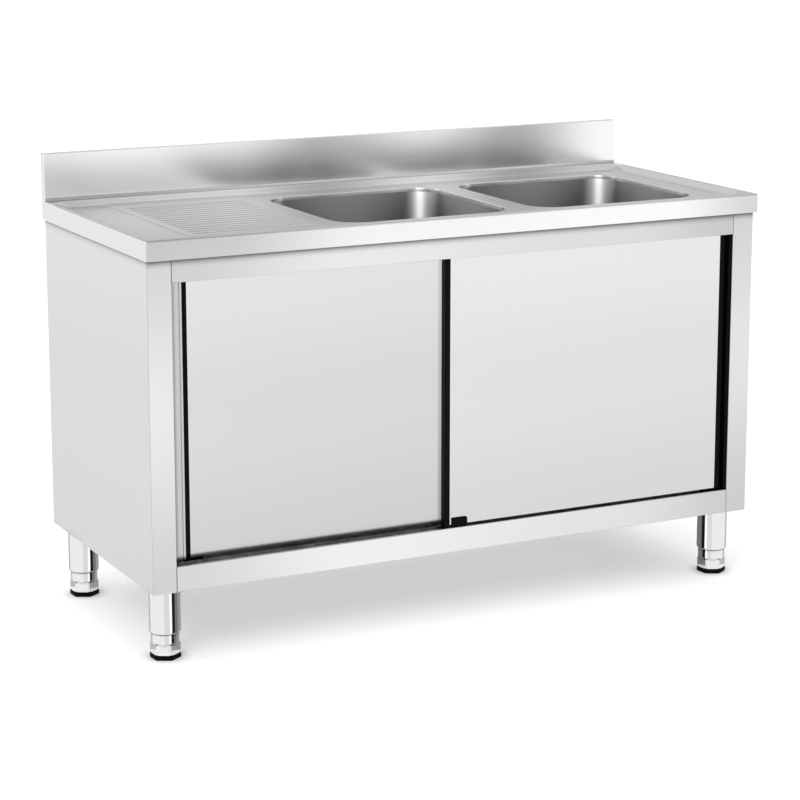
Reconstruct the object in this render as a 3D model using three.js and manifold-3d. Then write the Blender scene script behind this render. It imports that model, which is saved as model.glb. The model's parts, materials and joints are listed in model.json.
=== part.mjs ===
// Stainless steel sink cabinet with two pressed bowls, a ribbed drainer and two sliding doors.
// Millimetres, +Z up. X runs along the width, the front faces -Y, and the floor is z = 0.
// The origin is on the floor, in the middle of the footprint.

import * as THREE from "three";
import { mergeVertices } from "three/addons/utils/BufferGeometryUtils.js";
import Module from "manifold-3d";

const wasm = await Module();
wasm.setup();

// ---------------------------------------------------------------- driving dimensions

const WIDTH = 1400;
const DEPTH = 600;
const DECK_Z = 850; // working height, top of the raised rim
const UPSTAND_HEIGHT = 100;
const UPSTAND_DEPTH = 18;
const SKIRT_HEIGHT = 40; // visible edge of the worktop
const SHEET = 1; // steel sheet thickness
const GAP = 0.3; // clearance between pieces that touch
const FACETS = 24; // sides of a round piece
const FITTING_FACETS = 18; // sides of the drain fittings

const BEND_RADIUS = 4; // front edge of the worktop
const COVE_RADIUS = 5; // where the deck turns up into the upstand
const RECESS_DEPTH = 9; // the deck lies this far below the rim
const RECESS_RADIUS = 30;
const RECESS_SLOPE = 22; // width of the sloping border
const RIM_SIDE = 10;
const RIM_FRONT = 22;
const RIM_BACK = 12;

const BOWL_SIZE = 400;
const BOWL_DEPTH = 250;
const BOWL_RADIUS = 62; // corners, seen from above
const BOWL_DRAFT = 7; // each wall leans in this much from mouth to floor
const BOWL_FILLET = 40; // wall to floor
const BOWL_Y = -22;
const BOWL_X = { left: -51, right: 405 };
const BOWL_FLANGE = 12;
const DRAIN_RADIUS = 26;

const DRAINER = { x0: -586, x1: -288, y0: -236, y1: 243, rise: 1.5, radius: 14 };
const RIB = { count: 15, pitch: 26, firstY: -205, x0: -566, x1: -302, width: 13, rise: 1.4 };

const CABINET_HALF = 695; // half the width of the carcass
const CABINET_FRONT = -290;
const CABINET_BACK = 298;
const CABINET_BOTTOM = 148;
const CABINET_TOP = 838.5;
const POST_WIDTH = 50;
const DOORWAY = CABINET_HALF - POST_WIDTH; // half the clear width between the posts
const BOTTOM_RAIL_TOP = 200;
const TOP_RAIL_BOTTOM = 764;
const SHELF_Z = 186;

const DOOR_WIDTH = 680;
const DOOR_THICK = 17;
const DOOR_BOTTOM = 203.5;
const DOOR_TOP = 770;
const TRACK_PITCH = 27; // distance between the two door planes
const FRONT_DOOR = { x: -48, y: -281 };
const REAR_DOOR = { x: -614, y: FRONT_DOOR.y + TRACK_PITCH };
const EDGE_WIDTH = 12; // black profile on each upright door edge

const ROLLER_RADIUS = 10;
const ROLLER_WIDTH = 7;
const PIN_RADIUS = 3;
const BORE_RADIUS = 3.2;
const TRACK_LIP_Z = 777;
const AXLE_Z = TRACK_LIP_Z + GAP + ROLLER_RADIUS;
const HANGER_X = [80, DOOR_WIDTH - 80];

const LEG_X = 650;
const LEG_FRONT_Y = -232;
const LEG_BACK_Y = 238;
const LEG_RADIUS = 33;
const LEG_BOTTOM = 54;
const COLLAR_RADIUS = 29.5;
const HEX_RADIUS = 31;
const HEX_TOP = 32;
const PAD_RADIUS = HEX_RADIUS + 0.6;
const PAD_TOP = 10;
const STUD_RADIUS = 6;
const STUD_TOP = 110;
const FOOT_TURN = THREE.MathUtils.degToRad(-28);

const PIPE_RADIUS = 20;
const PIPE_WALL = 2.4;
const SOCKET_BORE = PIPE_RADIUS + 0.4;
const SOCKET_RADIUS = 23;
const BRANCH_Z = 470;
const TRAP_RADIUS = 38;
const TRAP_TOP = 418;
const TRAP_BOTTOM = 312;
const OUTLET_Z = 370;

// ---------------------------------------------------------------- derived levels

const RECESS_Z = DECK_Z - RECESS_DEPTH;
const SKIRT_Z = DECK_Z - SKIRT_HEIGHT;
const UPSTAND_Y = DEPTH / 2 - UPSTAND_DEPTH;
const BOWL_FLOOR = RECESS_Z - BOWL_DEPTH;
const BOWL_RIM_Z = RECESS_Z - SHEET - GAP;
const PIPE_BORE = PIPE_RADIUS - PIPE_WALL;

// ---------------------------------------------------------------- finishes

const finish = (color, roughness, metalness) =>
  new THREE.MeshStandardMaterial({ color, roughness, metalness });

const BRUSHED = finish(0xd8d9da, 0.32, 1);
const POLISHED = finish(0xe4e5e6, 0.12, 1);
const GALVANISED = finish(0xb4b6b8, 0.45, 1);
const BLACK_PROFILE = finish(0x101010, 0.5, 0);
const BLACK_RUBBER = finish(0x0b0b0b, 0.75, 0);
const WHITE_PLASTIC = finish(0xe9e9e6, 0.4, 0);
const NYLON = finish(0xdedcd4, 0.45, 0);

// ---------------------------------------------------------------- solid helpers

function solidOf(geometry) {
  const bare = geometry.clone();
  bare.deleteAttribute("normal");
  bare.deleteAttribute("uv");
  const merged = mergeVertices(bare);
  return new wasm.Manifold(new wasm.Mesh({
    numProp: 3,
    vertProperties: new Float32Array(merged.attributes.position.array),
    triVerts: new Uint32Array(merged.index.array),
  }));
}

function geometryOf(solid) {
  const { vertProperties, triVerts } = solid.getMesh();
  const geometry = new THREE.BufferGeometry();
  geometry.setAttribute("position", new THREE.BufferAttribute(vertProperties, 3));
  geometry.setIndex(new THREE.BufferAttribute(triVerts, 1));
  geometry.computeVertexNormals();
  return geometry;
}

const join = (first, ...others) => others.reduce((all, one) => all.add(one), first);
const cut = (first, ...others) => others.reduce((rest, one) => rest.subtract(one), first);

function block(x0, x1, y0, y1, z0, z1) {
  const box = new THREE.BoxGeometry(x1 - x0, y1 - y0, z1 - z0);
  return solidOf(box.translate((x0 + x1) / 2, (y0 + y1) / 2, (z0 + z1) / 2));
}

// A round bar between two heights, standing at x, y.
function roundPost(x, y, radius, z0, z1, sides = FACETS) {
  const bar = new THREE.CylinderGeometry(radius, radius, z1 - z0, sides);
  return solidOf(bar.rotateX(Math.PI / 2).translate(x, y, (z0 + z1) / 2));
}

// A round bar lying along Y.
function barAlongY(x, z, radius, y0, y1, sides = FACETS) {
  const bar = new THREE.CylinderGeometry(radius, radius, y1 - y0, sides);
  return solidOf(bar.translate(x, (y0 + y1) / 2, z));
}

// A round bar lying along X.
function barAlongX(y, z, radius, x0, x1, sides = FACETS) {
  const bar = new THREE.CylinderGeometry(radius, radius, x1 - x0, sides);
  return solidOf(bar.rotateZ(Math.PI / 2).translate((x0 + x1) / 2, y, z));
}

// A profile of (radius, height) points turned about the Z axis.
function turned(profile, sides = FACETS) {
  const points = profile.map(([radius, z]) => new THREE.Vector2(radius, z));
  return solidOf(new THREE.LatheGeometry(points, sides).rotateX(Math.PI / 2));
}

function arc(cx, cy, radius, from, to, steps) {
  return Array.from({ length: steps + 1 }, (_, i) => {
    const angle = THREE.MathUtils.degToRad(from + ((to - from) * i) / steps);
    return [cx + radius * Math.cos(angle), cy + radius * Math.sin(angle)];
  });
}

// An outline in X and Y, extruded upwards from z0 to z1.
function upright(outline, z0, z1) {
  const shape = new THREE.Shape(outline.map(([x, y]) => new THREE.Vector2(x, y)));
  const body = new THREE.ExtrudeGeometry(shape, { depth: z1 - z0, bevelEnabled: false });
  return solidOf(body.translate(0, 0, z0));
}

// An outline in Y and Z, extruded along X from x0 to x1.
function alongX(outline, x0, x1) {
  const shape = new THREE.Shape(outline.map(([y, z]) => new THREE.Vector2(y, z)));
  const body = new THREE.ExtrudeGeometry(shape, { depth: x1 - x0, bevelEnabled: false });
  const turn = new THREE.Matrix4().makeBasis(
    new THREE.Vector3(0, 1, 0),
    new THREE.Vector3(0, 0, 1),
    new THREE.Vector3(1, 0, 0),
  );
  return solidOf(body.applyMatrix4(turn).translate(x0, 0, 0));
}

// The outline of a folded sheet: the path given is its outer face, and the sheet lies to the
// left of the path, with mitred folds.
function folded(path, thickness = SHEET) {
  const points = path.map(([x, y]) => new THREE.Vector2(x, y));
  const normal = (i) => {
    const run = points[i + 1].clone().sub(points[i]).normalize();
    return new THREE.Vector2(-run.y, run.x);
  };
  const inner = points.map((point, i) => {
    const before = normal(Math.max(i - 1, 0));
    const after = normal(Math.min(i, points.length - 2));
    const mitre = before.clone().add(after);
    return point.clone().addScaledVector(mitre, (2 * thickness) / mitre.lengthSq());
  });
  return [...points, ...inner.reverse()].map((point) => [point.x, point.y]);
}

const mirrorX = (outline) => outline.map(([x, y]) => [-x, y]);

// One level ring of a rounded rectangle, anticlockwise seen from above.
function ring({ x0, x1, y0, y1, radius, z }, steps = 5) {
  const corners = [
    [x1 - radius, y1 - radius, 0],
    [x0 + radius, y1 - radius, 90],
    [x0 + radius, y0 + radius, 180],
    [x1 - radius, y0 + radius, 270],
  ];
  return corners.flatMap(([cx, cy, start]) =>
    arc(cx, cy, radius, start, start + 90, steps).map(([x, y]) => [x, y, z]));
}

// A closed solid through rings of equal length, from the lowest ring to the highest.
function loft(rings) {
  const size = rings[0].length;
  const centre = (points) => [0, 1, 2].map((k) =>
    points.reduce((sum, point) => sum + point[k], 0) / points.length);
  const vertices = [...rings.flat(), centre(rings[0]), centre(rings[rings.length - 1])];
  const floor = rings.length * size;
  const lid = floor + 1;
  const top = (rings.length - 1) * size;
  const faces = [];
  for (let i = 0; i < size; i += 1) {
    const next = (i + 1) % size;
    faces.push(floor, next, i, lid, top + i, top + next);
    for (let level = 0; level < rings.length - 1; level += 1) {
      const low = level * size;
      const high = low + size;
      faces.push(low + i, low + next, high + next, low + i, high + next, high + i);
    }
  }
  const geometry = new THREE.BufferGeometry();
  geometry.setAttribute("position", new THREE.Float32BufferAttribute(vertices.flat(), 3));
  geometry.setIndex(faces);
  return solidOf(geometry);
}

// A round bar that bends in X and Z. Each stop is [x, z, heading], the heading in degrees
// above +X.
function bentBar(radius, y, stops) {
  const rings = stops.map(([x, z, heading]) => {
    const turn = THREE.MathUtils.degToRad(heading);
    return arc(0, 0, radius, 0, 360, FITTING_FACETS).slice(1).map(([along, across]) =>
      [x - along * Math.sin(turn), y - across, z + along * Math.cos(turn)]);
  });
  return loft(rings);
}

// ---------------------------------------------------------------- assembly helpers

const sink = new THREE.Group();

function place(name, solid, material, position = [0, 0, 0], parent = sink) {
  const mesh = new THREE.Mesh(geometryOf(solid), material);
  mesh.name = name;
  mesh.position.set(...position);
  parent.add(mesh);
  return mesh;
}

const SIDES = [["left", -1], ["right", 1]];

// ---------------------------------------------------------------- worktop

// Section of the worktop and upstand in Y and Z, drawn a sheet's thickness further in for
// the hollow underneath.
function worktopSection(inset, bottom) {
  const front = -DEPTH / 2;
  const back = DEPTH / 2;
  const top = DECK_Z + UPSTAND_HEIGHT;
  return [
    [front + inset, bottom],
    [back - inset, bottom],
    [back - inset, top - inset],
    [UPSTAND_Y + inset, top - inset],
    ...arc(UPSTAND_Y - COVE_RADIUS, DECK_Z + COVE_RADIUS, COVE_RADIUS + inset, 0, -90, 3),
    ...arc(front + BEND_RADIUS, DECK_Z - BEND_RADIUS, BEND_RADIUS - inset, 90, 180, 3),
  ];
}

// The sunk deck inside the rim, grown by the sheet's thickness for its underside.
function recess(grow) {
  const level = (inset, radius, z) => ring({
    x0: -WIDTH / 2 + RIM_SIDE + inset - grow,
    x1: WIDTH / 2 - RIM_SIDE - inset + grow,
    y0: -DEPTH / 2 + RIM_FRONT + inset - grow,
    y1: UPSTAND_Y - RIM_BACK - inset + grow,
    radius: radius + grow,
    z,
  });
  const rise = RECESS_DEPTH / RECESS_SLOPE;
  const over = 3; // carries the slope past the rim's level for a clean cut
  return loft([
    level(RECESS_SLOPE, RECESS_RADIUS - RECESS_SLOPE / 2, RECESS_Z - grow),
    level(-over / rise, RECESS_RADIUS + RECESS_SLOPE / 2, DECK_Z + over - grow),
  ]);
}

function bowlMouth(x, size, radius, z0, z1) {
  const half = size / 2;
  const square = { x0: x - half, x1: x + half, y0: BOWL_Y - half, y1: BOWL_Y + half, radius };
  return loft([ring({ ...square, z: z0 }, 6), ring({ ...square, z: z1 }, 6)]);
}

// The raised field of the drainer, with its sloping border.
function drainerField() {
  const { x0, x1, y0, y1, rise, radius } = DRAINER;
  const border = 3;
  return loft([
    ring({ x0, x1, y0, y1, radius, z: RECESS_Z - SHEET / 2 }, 3),
    ring({ x0, x1, y0, y1, radius, z: RECESS_Z }, 3),
    ring({
      x0: x0 + border,
      x1: x1 - border,
      y0: y0 + border,
      y1: y1 - border,
      radius: radius - border,
      z: RECESS_Z + rise,
    }, 3),
  ]);
}

// One pressed rib: a low arched bar with tapered ends.
function drainerRib(y) {
  const base = RECESS_Z + DRAINER.rise - SHEET / 2;
  const level = (inset, z) => ring({
    x0: RIB.x0 + inset,
    x1: RIB.x1 - inset,
    y0: y - RIB.width / 2 + inset,
    y1: y + RIB.width / 2 - inset,
    radius: RIB.width / 2 - inset - 0.2,
    z,
  }, 2);
  const crown = RECESS_Z + DRAINER.rise + RIB.rise;
  return loft([level(0, base), level(0.6, crown - RIB.rise), level(4, crown)]);
}

function worktop() {
  const shell = alongX(worktopSection(0, SKIRT_Z), -WIDTH / 2, WIDTH / 2);
  const hollow = alongX(worktopSection(SHEET, SKIRT_Z - 1), -WIDTH / 2 + SHEET, WIDTH / 2 - SHEET);
  const mouths = Object.values(BOWL_X).map((x) =>
    bowlMouth(x, BOWL_SIZE, BOWL_RADIUS, RECESS_Z - 5, RECESS_Z + 5));
  const ribs = Array.from({ length: RIB.count }, (_, i) => drainerRib(RIB.firstY + i * RIB.pitch));
  const sheet = cut(shell, recess(0), hollow.subtract(recess(SHEET)), ...mouths);
  return join(sheet, drainerField(), ...ribs);
}

place("worktop", worktop(), BRUSHED);

// Hat-shaped channel that stiffens the deck under the drainer.
const HAT = { brim: 22, half: 24, depth: 23 };

function hatChannel(top, x0, x1) {
  const low = top - HAT.depth;
  const path = [
    [HAT.half + HAT.brim, top],
    [HAT.half, top],
    [HAT.half, low],
    [-HAT.half, low],
    [-HAT.half, top],
    [-HAT.half - HAT.brim, top],
  ];
  return alongX(folded(path.reverse(), -SHEET), x0, x1);
}

place("deck_stiffener", hatChannel(BOWL_RIM_Z, -640, -280), GALVANISED);

// ---------------------------------------------------------------- bowls and wastes

// Rings of one bowl from its floor up to z, offset outwards by the sheet's thickness.
function bowlRings(grow, top) {
  const wallHeight = RECESS_Z - BOWL_FLOOR - BOWL_FILLET;
  const level = (lean, z) => ring({
    x0: -BOWL_SIZE / 2 + lean - grow,
    x1: BOWL_SIZE / 2 - lean + grow,
    y0: -BOWL_SIZE / 2 + lean - grow,
    y1: BOWL_SIZE / 2 - lean + grow,
    radius: BOWL_RADIUS - lean + grow,
    z,
  }, 6);
  const fillet = [90, 60, 30, 0].map((angle) => {
    const turn = THREE.MathUtils.degToRad(angle);
    const lean = BOWL_DRAFT + BOWL_FILLET - BOWL_FILLET * Math.cos(turn);
    const z = BOWL_FLOOR + BOWL_FILLET - (BOWL_FILLET + grow) * Math.sin(turn);
    return level(lean, z);
  });
  const leanAt = (z) => BOWL_DRAFT * (1 - (z - BOWL_FLOOR - BOWL_FILLET) / wallHeight);
  return [...fillet, level(leanAt(top), top)];
}

function bowl() {
  const half = BOWL_SIZE / 2 + BOWL_FLANGE;
  const outline = { x0: -half, x1: half, y0: -half, y1: half, radius: BOWL_RADIUS + BOWL_FLANGE };
  const flange = loft([
    ring({ ...outline, z: BOWL_RIM_Z - SHEET }, 6),
    ring({ ...outline, z: BOWL_RIM_Z }, 6),
  ]);
  const outside = loft(bowlRings(SHEET, BOWL_RIM_Z - SHEET / 2)).add(flange);
  const inside = loft(bowlRings(0, BOWL_RIM_Z + 2));
  return cut(outside, inside, roundPost(0, 0, DRAIN_RADIUS, BOWL_FLOOR - 5, BOWL_FLOOR + 5));
}

// Steel strainer: a dished flange, a sleeve through the bowl's floor and a pierced plate.
function strainer() {
  const rim = 36;
  const sleeve = 23;
  const inner = sleeve - 2;
  const plate = BOWL_FLOOR - 6;
  const bottom = BOWL_FLOOR - 30;
  const seat = BOWL_FLOOR + GAP;
  const body = turned([
    [0, plate - 1.5], [inner, plate - 1.5], [inner, bottom], [sleeve, bottom], [sleeve, seat],
    [rim - 0.6, seat], [rim, seat + 0.6], [rim - 1, seat + 1.5], [sleeve + 3, seat + 1],
    [inner, plate], [0, plate],
  ], FITTING_FACETS);
  const reach = 13;
  const first = 7; // degrees, so that no hole lines up with a facet's edge
  const holes = arc(0, 0, reach, first, first + 288, 4).map(([x, y]) =>
    roundPost(x, y, 4, plate - 4, plate + 2, 8));
  return cut(body, ...holes);
}

const SEAL_TOP = BOWL_FLOOR - SHEET - GAP;
const SEAL_THICK = 3;
const SEAL_RADIUS = 36;

function wasteSeal() {
  const low = SEAL_TOP - SEAL_THICK;
  const inner = DRAIN_RADIUS;
  const section = [
    [inner, low], [SEAL_RADIUS, low], [SEAL_RADIUS, SEAL_TOP], [inner, SEAL_TOP], [inner, low],
  ];
  return turned(section, FITTING_FACETS);
}

const WASTE_BOTTOM = 505;

// Plastic waste body under the bowl: a flanged cup that narrows to a socket for the pipe.
function wasteBody() {
  const top = SEAL_TOP - SEAL_THICK - GAP;
  const flange = SEAL_RADIUS + 1;
  const cup = 29;
  const mouth = 24;
  return turned([
    [SOCKET_BORE, WASTE_BOTTOM], [SOCKET_RADIUS, WASTE_BOTTOM], [SOCKET_RADIUS, top - 40],
    [cup, top - 32], [cup, top - 8], [flange, top - 5], [flange, top], [mouth, top],
    [mouth, top - 30], [SOCKET_BORE, top - 36], [SOCKET_BORE, WASTE_BOTTOM],
  ], FITTING_FACETS);
}

for (const [side, x] of Object.entries(BOWL_X)) {
  const group = new THREE.Group();
  group.position.set(x, BOWL_Y, 0);
  sink.add(group);
  place(`bowl_${side}`, bowl(), BRUSHED, [0, 0, 0], group);
  place(`waste_strainer_${side}`, strainer(), POLISHED, [0, 0, 0], group);
  place(`waste_seal_${side}`, wasteSeal(), BLACK_RUBBER, [0, 0, 0], group);
  place(`waste_body_${side}`, wasteBody(), WHITE_PLASTIC, [0, 0, 0], group);
}

// ---------------------------------------------------------------- drain pipes and trap

const PIPE_TOP = WASTE_BOTTOM + 16; // how far a pipe reaches up into the waste body
const TEE_SOCKET = 62; // from the tee's axis to the mouth of its side socket

// Pipe from the left waste, bent once and run across to the tee.
function drainBranch() {
  const bend = 34;
  const end = BOWL_X.right - TEE_SOCKET + 30;
  const elbow = arc(BOWL_X.left + bend, BRANCH_Z + bend, bend, 180, 270, 4);
  const stops = (past) => [
    [BOWL_X.left, PIPE_TOP + past, -90],
    ...elbow.map(([x, z], i) => [x, z, -90 + (90 * i) / 4]),
    [end + past, BRANCH_Z, 0],
  ];
  return cut(bentBar(PIPE_RADIUS, BOWL_Y, stops(0)), bentBar(PIPE_BORE, BOWL_Y, stops(3)));
}

// Tee under the right waste. Its tail dips into the bottle trap.
function drainTee() {
  const mouth = -TEE_SOCKET;
  const dipBottom = 345;
  const body = join(
    roundPost(0, 0, PIPE_RADIUS, dipBottom, PIPE_TOP),
    barAlongX(0, BRANCH_Z, SOCKET_RADIUS, mouth, 0),
  );
  return cut(
    body,
    roundPost(0, 0, PIPE_BORE, dipBottom - 5, PIPE_TOP + 5),
    barAlongX(0, BRANCH_Z, SOCKET_BORE, mouth - 5, -28),
    barAlongX(0, BRANCH_Z, PIPE_BORE, -29, 0),
  );
}

// Bottle trap: a cup that holds water, a neck round the tee's tail and a socket at the back.
function trapBottle() {
  const wall = 3;
  const neckTop = TRAP_TOP + 14;
  const socketEnd = 68;
  const outside = turned([
    [0, TRAP_BOTTOM], [TRAP_RADIUS - 6, TRAP_BOTTOM], [TRAP_RADIUS, TRAP_BOTTOM + 8],
    [TRAP_RADIUS, TRAP_TOP - 10], [SOCKET_RADIUS + 2, TRAP_TOP], [SOCKET_RADIUS + 2, neckTop],
    [0, neckTop],
  ]);
  const inside = turned([
    [0, TRAP_BOTTOM + wall], [TRAP_RADIUS - 8, TRAP_BOTTOM + wall],
    [TRAP_RADIUS - wall, TRAP_BOTTOM + 10], [TRAP_RADIUS - wall, TRAP_TOP - 12],
    [SOCKET_BORE, TRAP_TOP - 3], [SOCKET_BORE, neckTop + 5], [0, neckTop + 5],
  ]);
  const socket = barAlongY(0, OUTLET_Z, SOCKET_RADIUS, 20, socketEnd);
  return cut(
    outside.add(socket),
    inside,
    barAlongY(0, OUTLET_Z, SOCKET_BORE, TRAP_RADIUS + 8, socketEnd + 5),
    barAlongY(0, OUTLET_Z, PIPE_BORE, 20, TRAP_RADIUS + 10),
  );
}

const OUTLET_START = BOWL_Y + TRAP_RADIUS + 12;

function outletPipe() {
  return cut(
    barAlongY(0, 0, PIPE_RADIUS, OUTLET_START, CABINET_BACK),
    barAlongY(0, 0, PIPE_BORE, OUTLET_START - 5, CABINET_BACK + 5),
  );
}

place("drain_branch", drainBranch(), WHITE_PLASTIC);
place("drain_tee", drainTee(), WHITE_PLASTIC, [BOWL_X.right, BOWL_Y, 0]);
place("trap_bottle", trapBottle(), WHITE_PLASTIC, [BOWL_X.right, BOWL_Y, 0]);
place("outlet_pipe", outletPipe(), WHITE_PLASTIC, [BOWL_X.right, 0, OUTLET_Z]);

// ---------------------------------------------------------------- carcass

const PANEL_FRONT = CABINET_FRONT + SHEET + 0.4; // side panels stop behind the posts' faces

function sidePanel(sign) {
  const outline = folded([
    [-CABINET_HALF + 25, CABINET_BACK],
    [-CABINET_HALF, CABINET_BACK],
    [-CABINET_HALF, PANEL_FRONT],
    [-CABINET_HALF + 30, PANEL_FRONT],
  ]);
  const wall = upright(sign < 0 ? outline : mirrorX(outline), CABINET_BOTTOM, CABINET_TOP);
  const inner = sign * (CABINET_HALF - 10);
  const outer = sign * CABINET_HALF;
  const foot = block(Math.min(inner, outer), Math.max(inner, outer), PANEL_FRONT, CABINET_BACK,
    CABINET_BOTTOM, CABINET_BOTTOM + SHEET);
  return wall.add(foot);
}

const JAMB_BACK = -230; // rear flange of a front post
const JAMB_BOTTOM = 202; // clear of the lower track
const JAMB_FLANGE = 45;
const COVER = { reach: 31.5, y: REAR_DOOR.y - 4.5, top: DOOR_TOP }; // strip between the door planes

// Front post: a face strip at full height. Above the lower track it folds back beside the
// doors and then behind them, and a cover strip reaches in between the two door planes.
function frontPost(sign) {
  const face = [[-CABINET_HALF, CABINET_FRONT], [-DOORWAY, CABINET_FRONT]];
  const jamb = [...face, [-DOORWAY, JAMB_BACK], [-DOORWAY + JAMB_FLANGE, JAMB_BACK]];
  const root = -DOORWAY - SHEET / 2;
  const cover = [
    [root, COVER.y],
    [-DOORWAY + COVER.reach, COVER.y],
    [-DOORWAY + COVER.reach, COVER.y + SHEET],
    [root, COVER.y + SHEET],
  ];
  const side = (outline) => (sign < 0 ? outline : mirrorX(outline));
  return join(
    upright(side(folded(face)), CABINET_BOTTOM, JAMB_BOTTOM + 1),
    upright(side(folded(jamb)), JAMB_BOTTOM, CABINET_TOP),
    upright(side(cover), JAMB_BOTTOM, COVER.top),
  );
}

function backPanel() {
  const y = CABINET_BACK - 2.6;
  const half = CABINET_HALF - SHEET - 0.6;
  const sheet = block(-half, half, y, y + SHEET, CABINET_BOTTOM + 2, CABINET_TOP);
  return sheet.subtract(barAlongY(BOWL_X.right, OUTLET_Z, PIPE_RADIUS + 5, y - 5, y + 5));
}

// Bottom shelf: a sheet with its four edges folded down.
function bottomShelf() {
  const half = 692;
  const front = CABINET_FRONT + 3;
  const back = CABINET_BACK - 3;
  const low = CABINET_BOTTOM + 2;
  const tray = block(-half, half, front, back, low, SHELF_Z);
  const inner = half - SHEET;
  const under = block(-inner, inner, front + SHEET, back - SHEET, low - 5, SHELF_Z - SHEET);
  return tray.subtract(under);
}

const RAIL_HALF = DOORWAY - GAP;

function topRail() {
  const path = [
    [CABINET_FRONT + 28, CABINET_TOP],
    [CABINET_FRONT, CABINET_TOP],
    [CABINET_FRONT, TOP_RAIL_BOTTOM],
    [CABINET_FRONT + 5, TOP_RAIL_BOTTOM],
  ];
  return alongX(folded(path), -RAIL_HALF, RAIL_HALF);
}

function bottomRail() {
  const path = [
    [CABINET_FRONT + 5, BOTTOM_RAIL_TOP],
    [CABINET_FRONT, BOTTOM_RAIL_TOP],
    [CABINET_FRONT, CABINET_BOTTOM],
    [CABINET_FRONT + 20, CABINET_BOTTOM],
  ];
  return alongX(folded(path), -RAIL_HALF, RAIL_HALF);
}

function rearTopRail() {
  const back = CABINET_BACK - 3.2;
  const low = CABINET_TOP - 40;
  const path = [[back - 30, low], [back, low], [back, CABINET_TOP], [back - 30, CABINET_TOP]];
  return alongX(folded(path), -CABINET_HALF + 2, CABINET_HALF - 2);
}

// Upper track: a plate hung behind the top rail, with a web and a running lip for each door.
function upperTrack() {
  const plateZ = 806;
  const front = CABINET_FRONT + SHEET + 0.5;
  const pieces = [
    block(-RAIL_HALF, RAIL_HALF, front, front + SHEET, plateZ, plateZ + 24),
    block(-RAIL_HALF, RAIL_HALF, front, FRONT_DOOR.y + TRACK_PITCH + 22, plateZ, plateZ + SHEET),
  ];
  for (const door of [FRONT_DOOR, REAR_DOOR]) {
    const web = door.y + DOOR_THICK / 2 + 11;
    pieces.push(
      block(-RAIL_HALF, RAIL_HALF, web, web + SHEET, TRACK_LIP_Z - SHEET, plateZ + SHEET),
      block(-RAIL_HALF, RAIL_HALF, web - 10.7, web + SHEET, TRACK_LIP_Z - SHEET, TRACK_LIP_Z),
    );
  }
  return join(...pieces);
}

// Lower track on the shelf: three low ribs that leave a groove for each door's shoes.
function lowerTrack() {
  const base = SHELF_Z + GAP;
  const front = FRONT_DOOR.y - 2.5;
  const back = front + 2 * (TRACK_PITCH - 2.5);
  const pieces = [block(-RAIL_HALF, RAIL_HALF, front, back, base, base + SHEET)];
  for (const y of [front, (front + back) / 2 - SHEET / 2, back - SHEET]) {
    pieces.push(block(-RAIL_HALF, RAIL_HALF, y, y + SHEET, base, BOTTOM_RAIL_TOP - 1));
  }
  return join(...pieces);
}

place("back_panel", backPanel(), BRUSHED);
place("bottom_shelf", bottomShelf(), BRUSHED);
place("shelf_stiffener", hatChannel(SHELF_Z - SHEET - GAP, -600, 600), GALVANISED);
place("top_rail", topRail(), BRUSHED);
place("bottom_rail", bottomRail(), BRUSHED);
place("rear_top_rail", rearTopRail(), GALVANISED);
place("upper_track", upperTrack(), GALVANISED);
place("lower_track", lowerTrack(), GALVANISED);

for (const [side, sign] of SIDES) {
  place(`side_panel_${side}`, sidePanel(sign), BRUSHED);
  place(`front_post_${side}`, frontPost(sign), BRUSHED);
}

// Soft strip on the inner face of a post, in the plane of the door that shuts against it.
function bumperSection() {
  const thick = 7.7;
  const deep = 22;
  const round = 2;
  return [
    [0, 0],
    ...arc(thick - round, round, round, -90, 0, 2),
    ...arc(thick - round, deep - round, round, 0, 90, 2),
    [0, deep],
  ];
}

const BUMPER_Z = [DOOR_BOTTOM, TOP_RAIL_BOTTOM - 1];
const BUMPER_X = DOORWAY - GAP;
place("post_bumper_left", upright(bumperSection(), ...BUMPER_Z), BLACK_PROFILE,
  [-BUMPER_X, REAR_DOOR.y - 2, 0]);
place("post_bumper_right", upright(mirrorX(bumperSection()), ...BUMPER_Z), BLACK_PROFILE,
  [BUMPER_X, FRONT_DOOR.y - 8, 0]);

// ---------------------------------------------------------------- legs and feet

// Leg: a steel tube with a top plate under the shelf and a threaded plug in its lower end.
function leg() {
  const top = SHELF_Z - SHEET - GAP;
  const plate = 3;
  const wall = 1.5;
  const plug = 14;
  const chamfer = 3;
  const clear = STUD_RADIUS + 0.6;
  const tube = turned([
    [clear, LEG_BOTTOM], [LEG_RADIUS - chamfer, LEG_BOTTOM], [LEG_RADIUS, LEG_BOTTOM + chamfer],
    [LEG_RADIUS, top - plate / 2], [LEG_RADIUS - wall, top - plate / 2],
    [LEG_RADIUS - wall, LEG_BOTTOM + plug], [clear, LEG_BOTTOM + plug], [clear, LEG_BOTTOM],
  ]);
  return tube.add(block(-38, 38, -46, 46, top - plate, top));
}

// Screw foot: a round collar, a hexagon for the spanner and a stud up into the leg.
function foot() {
  const collarTop = LEG_BOTTOM - GAP;
  const groove = 1.2;
  const body = turned([
    [0, HEX_TOP - 1], [COLLAR_RADIUS - groove, HEX_TOP - 1], [COLLAR_RADIUS - groove, HEX_TOP + 1],
    [COLLAR_RADIUS, HEX_TOP + 2], [COLLAR_RADIUS, collarTop - 1], [COLLAR_RADIUS - 1, collarTop],
    [STUD_RADIUS, collarTop], [STUD_RADIUS, STUD_TOP], [0, STUD_TOP],
  ]);
  return body.add(hexagon(HEX_RADIUS, PAD_TOP + GAP, HEX_TOP));
}

function hexagon(radius, z0, z1) {
  const outline = Array.from({ length: 6 }, (_, i) => {
    const angle = (i * Math.PI) / 3 + FOOT_TURN;
    return [radius * Math.cos(angle), radius * Math.sin(angle)];
  });
  return upright(outline, z0, z1);
}

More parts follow.
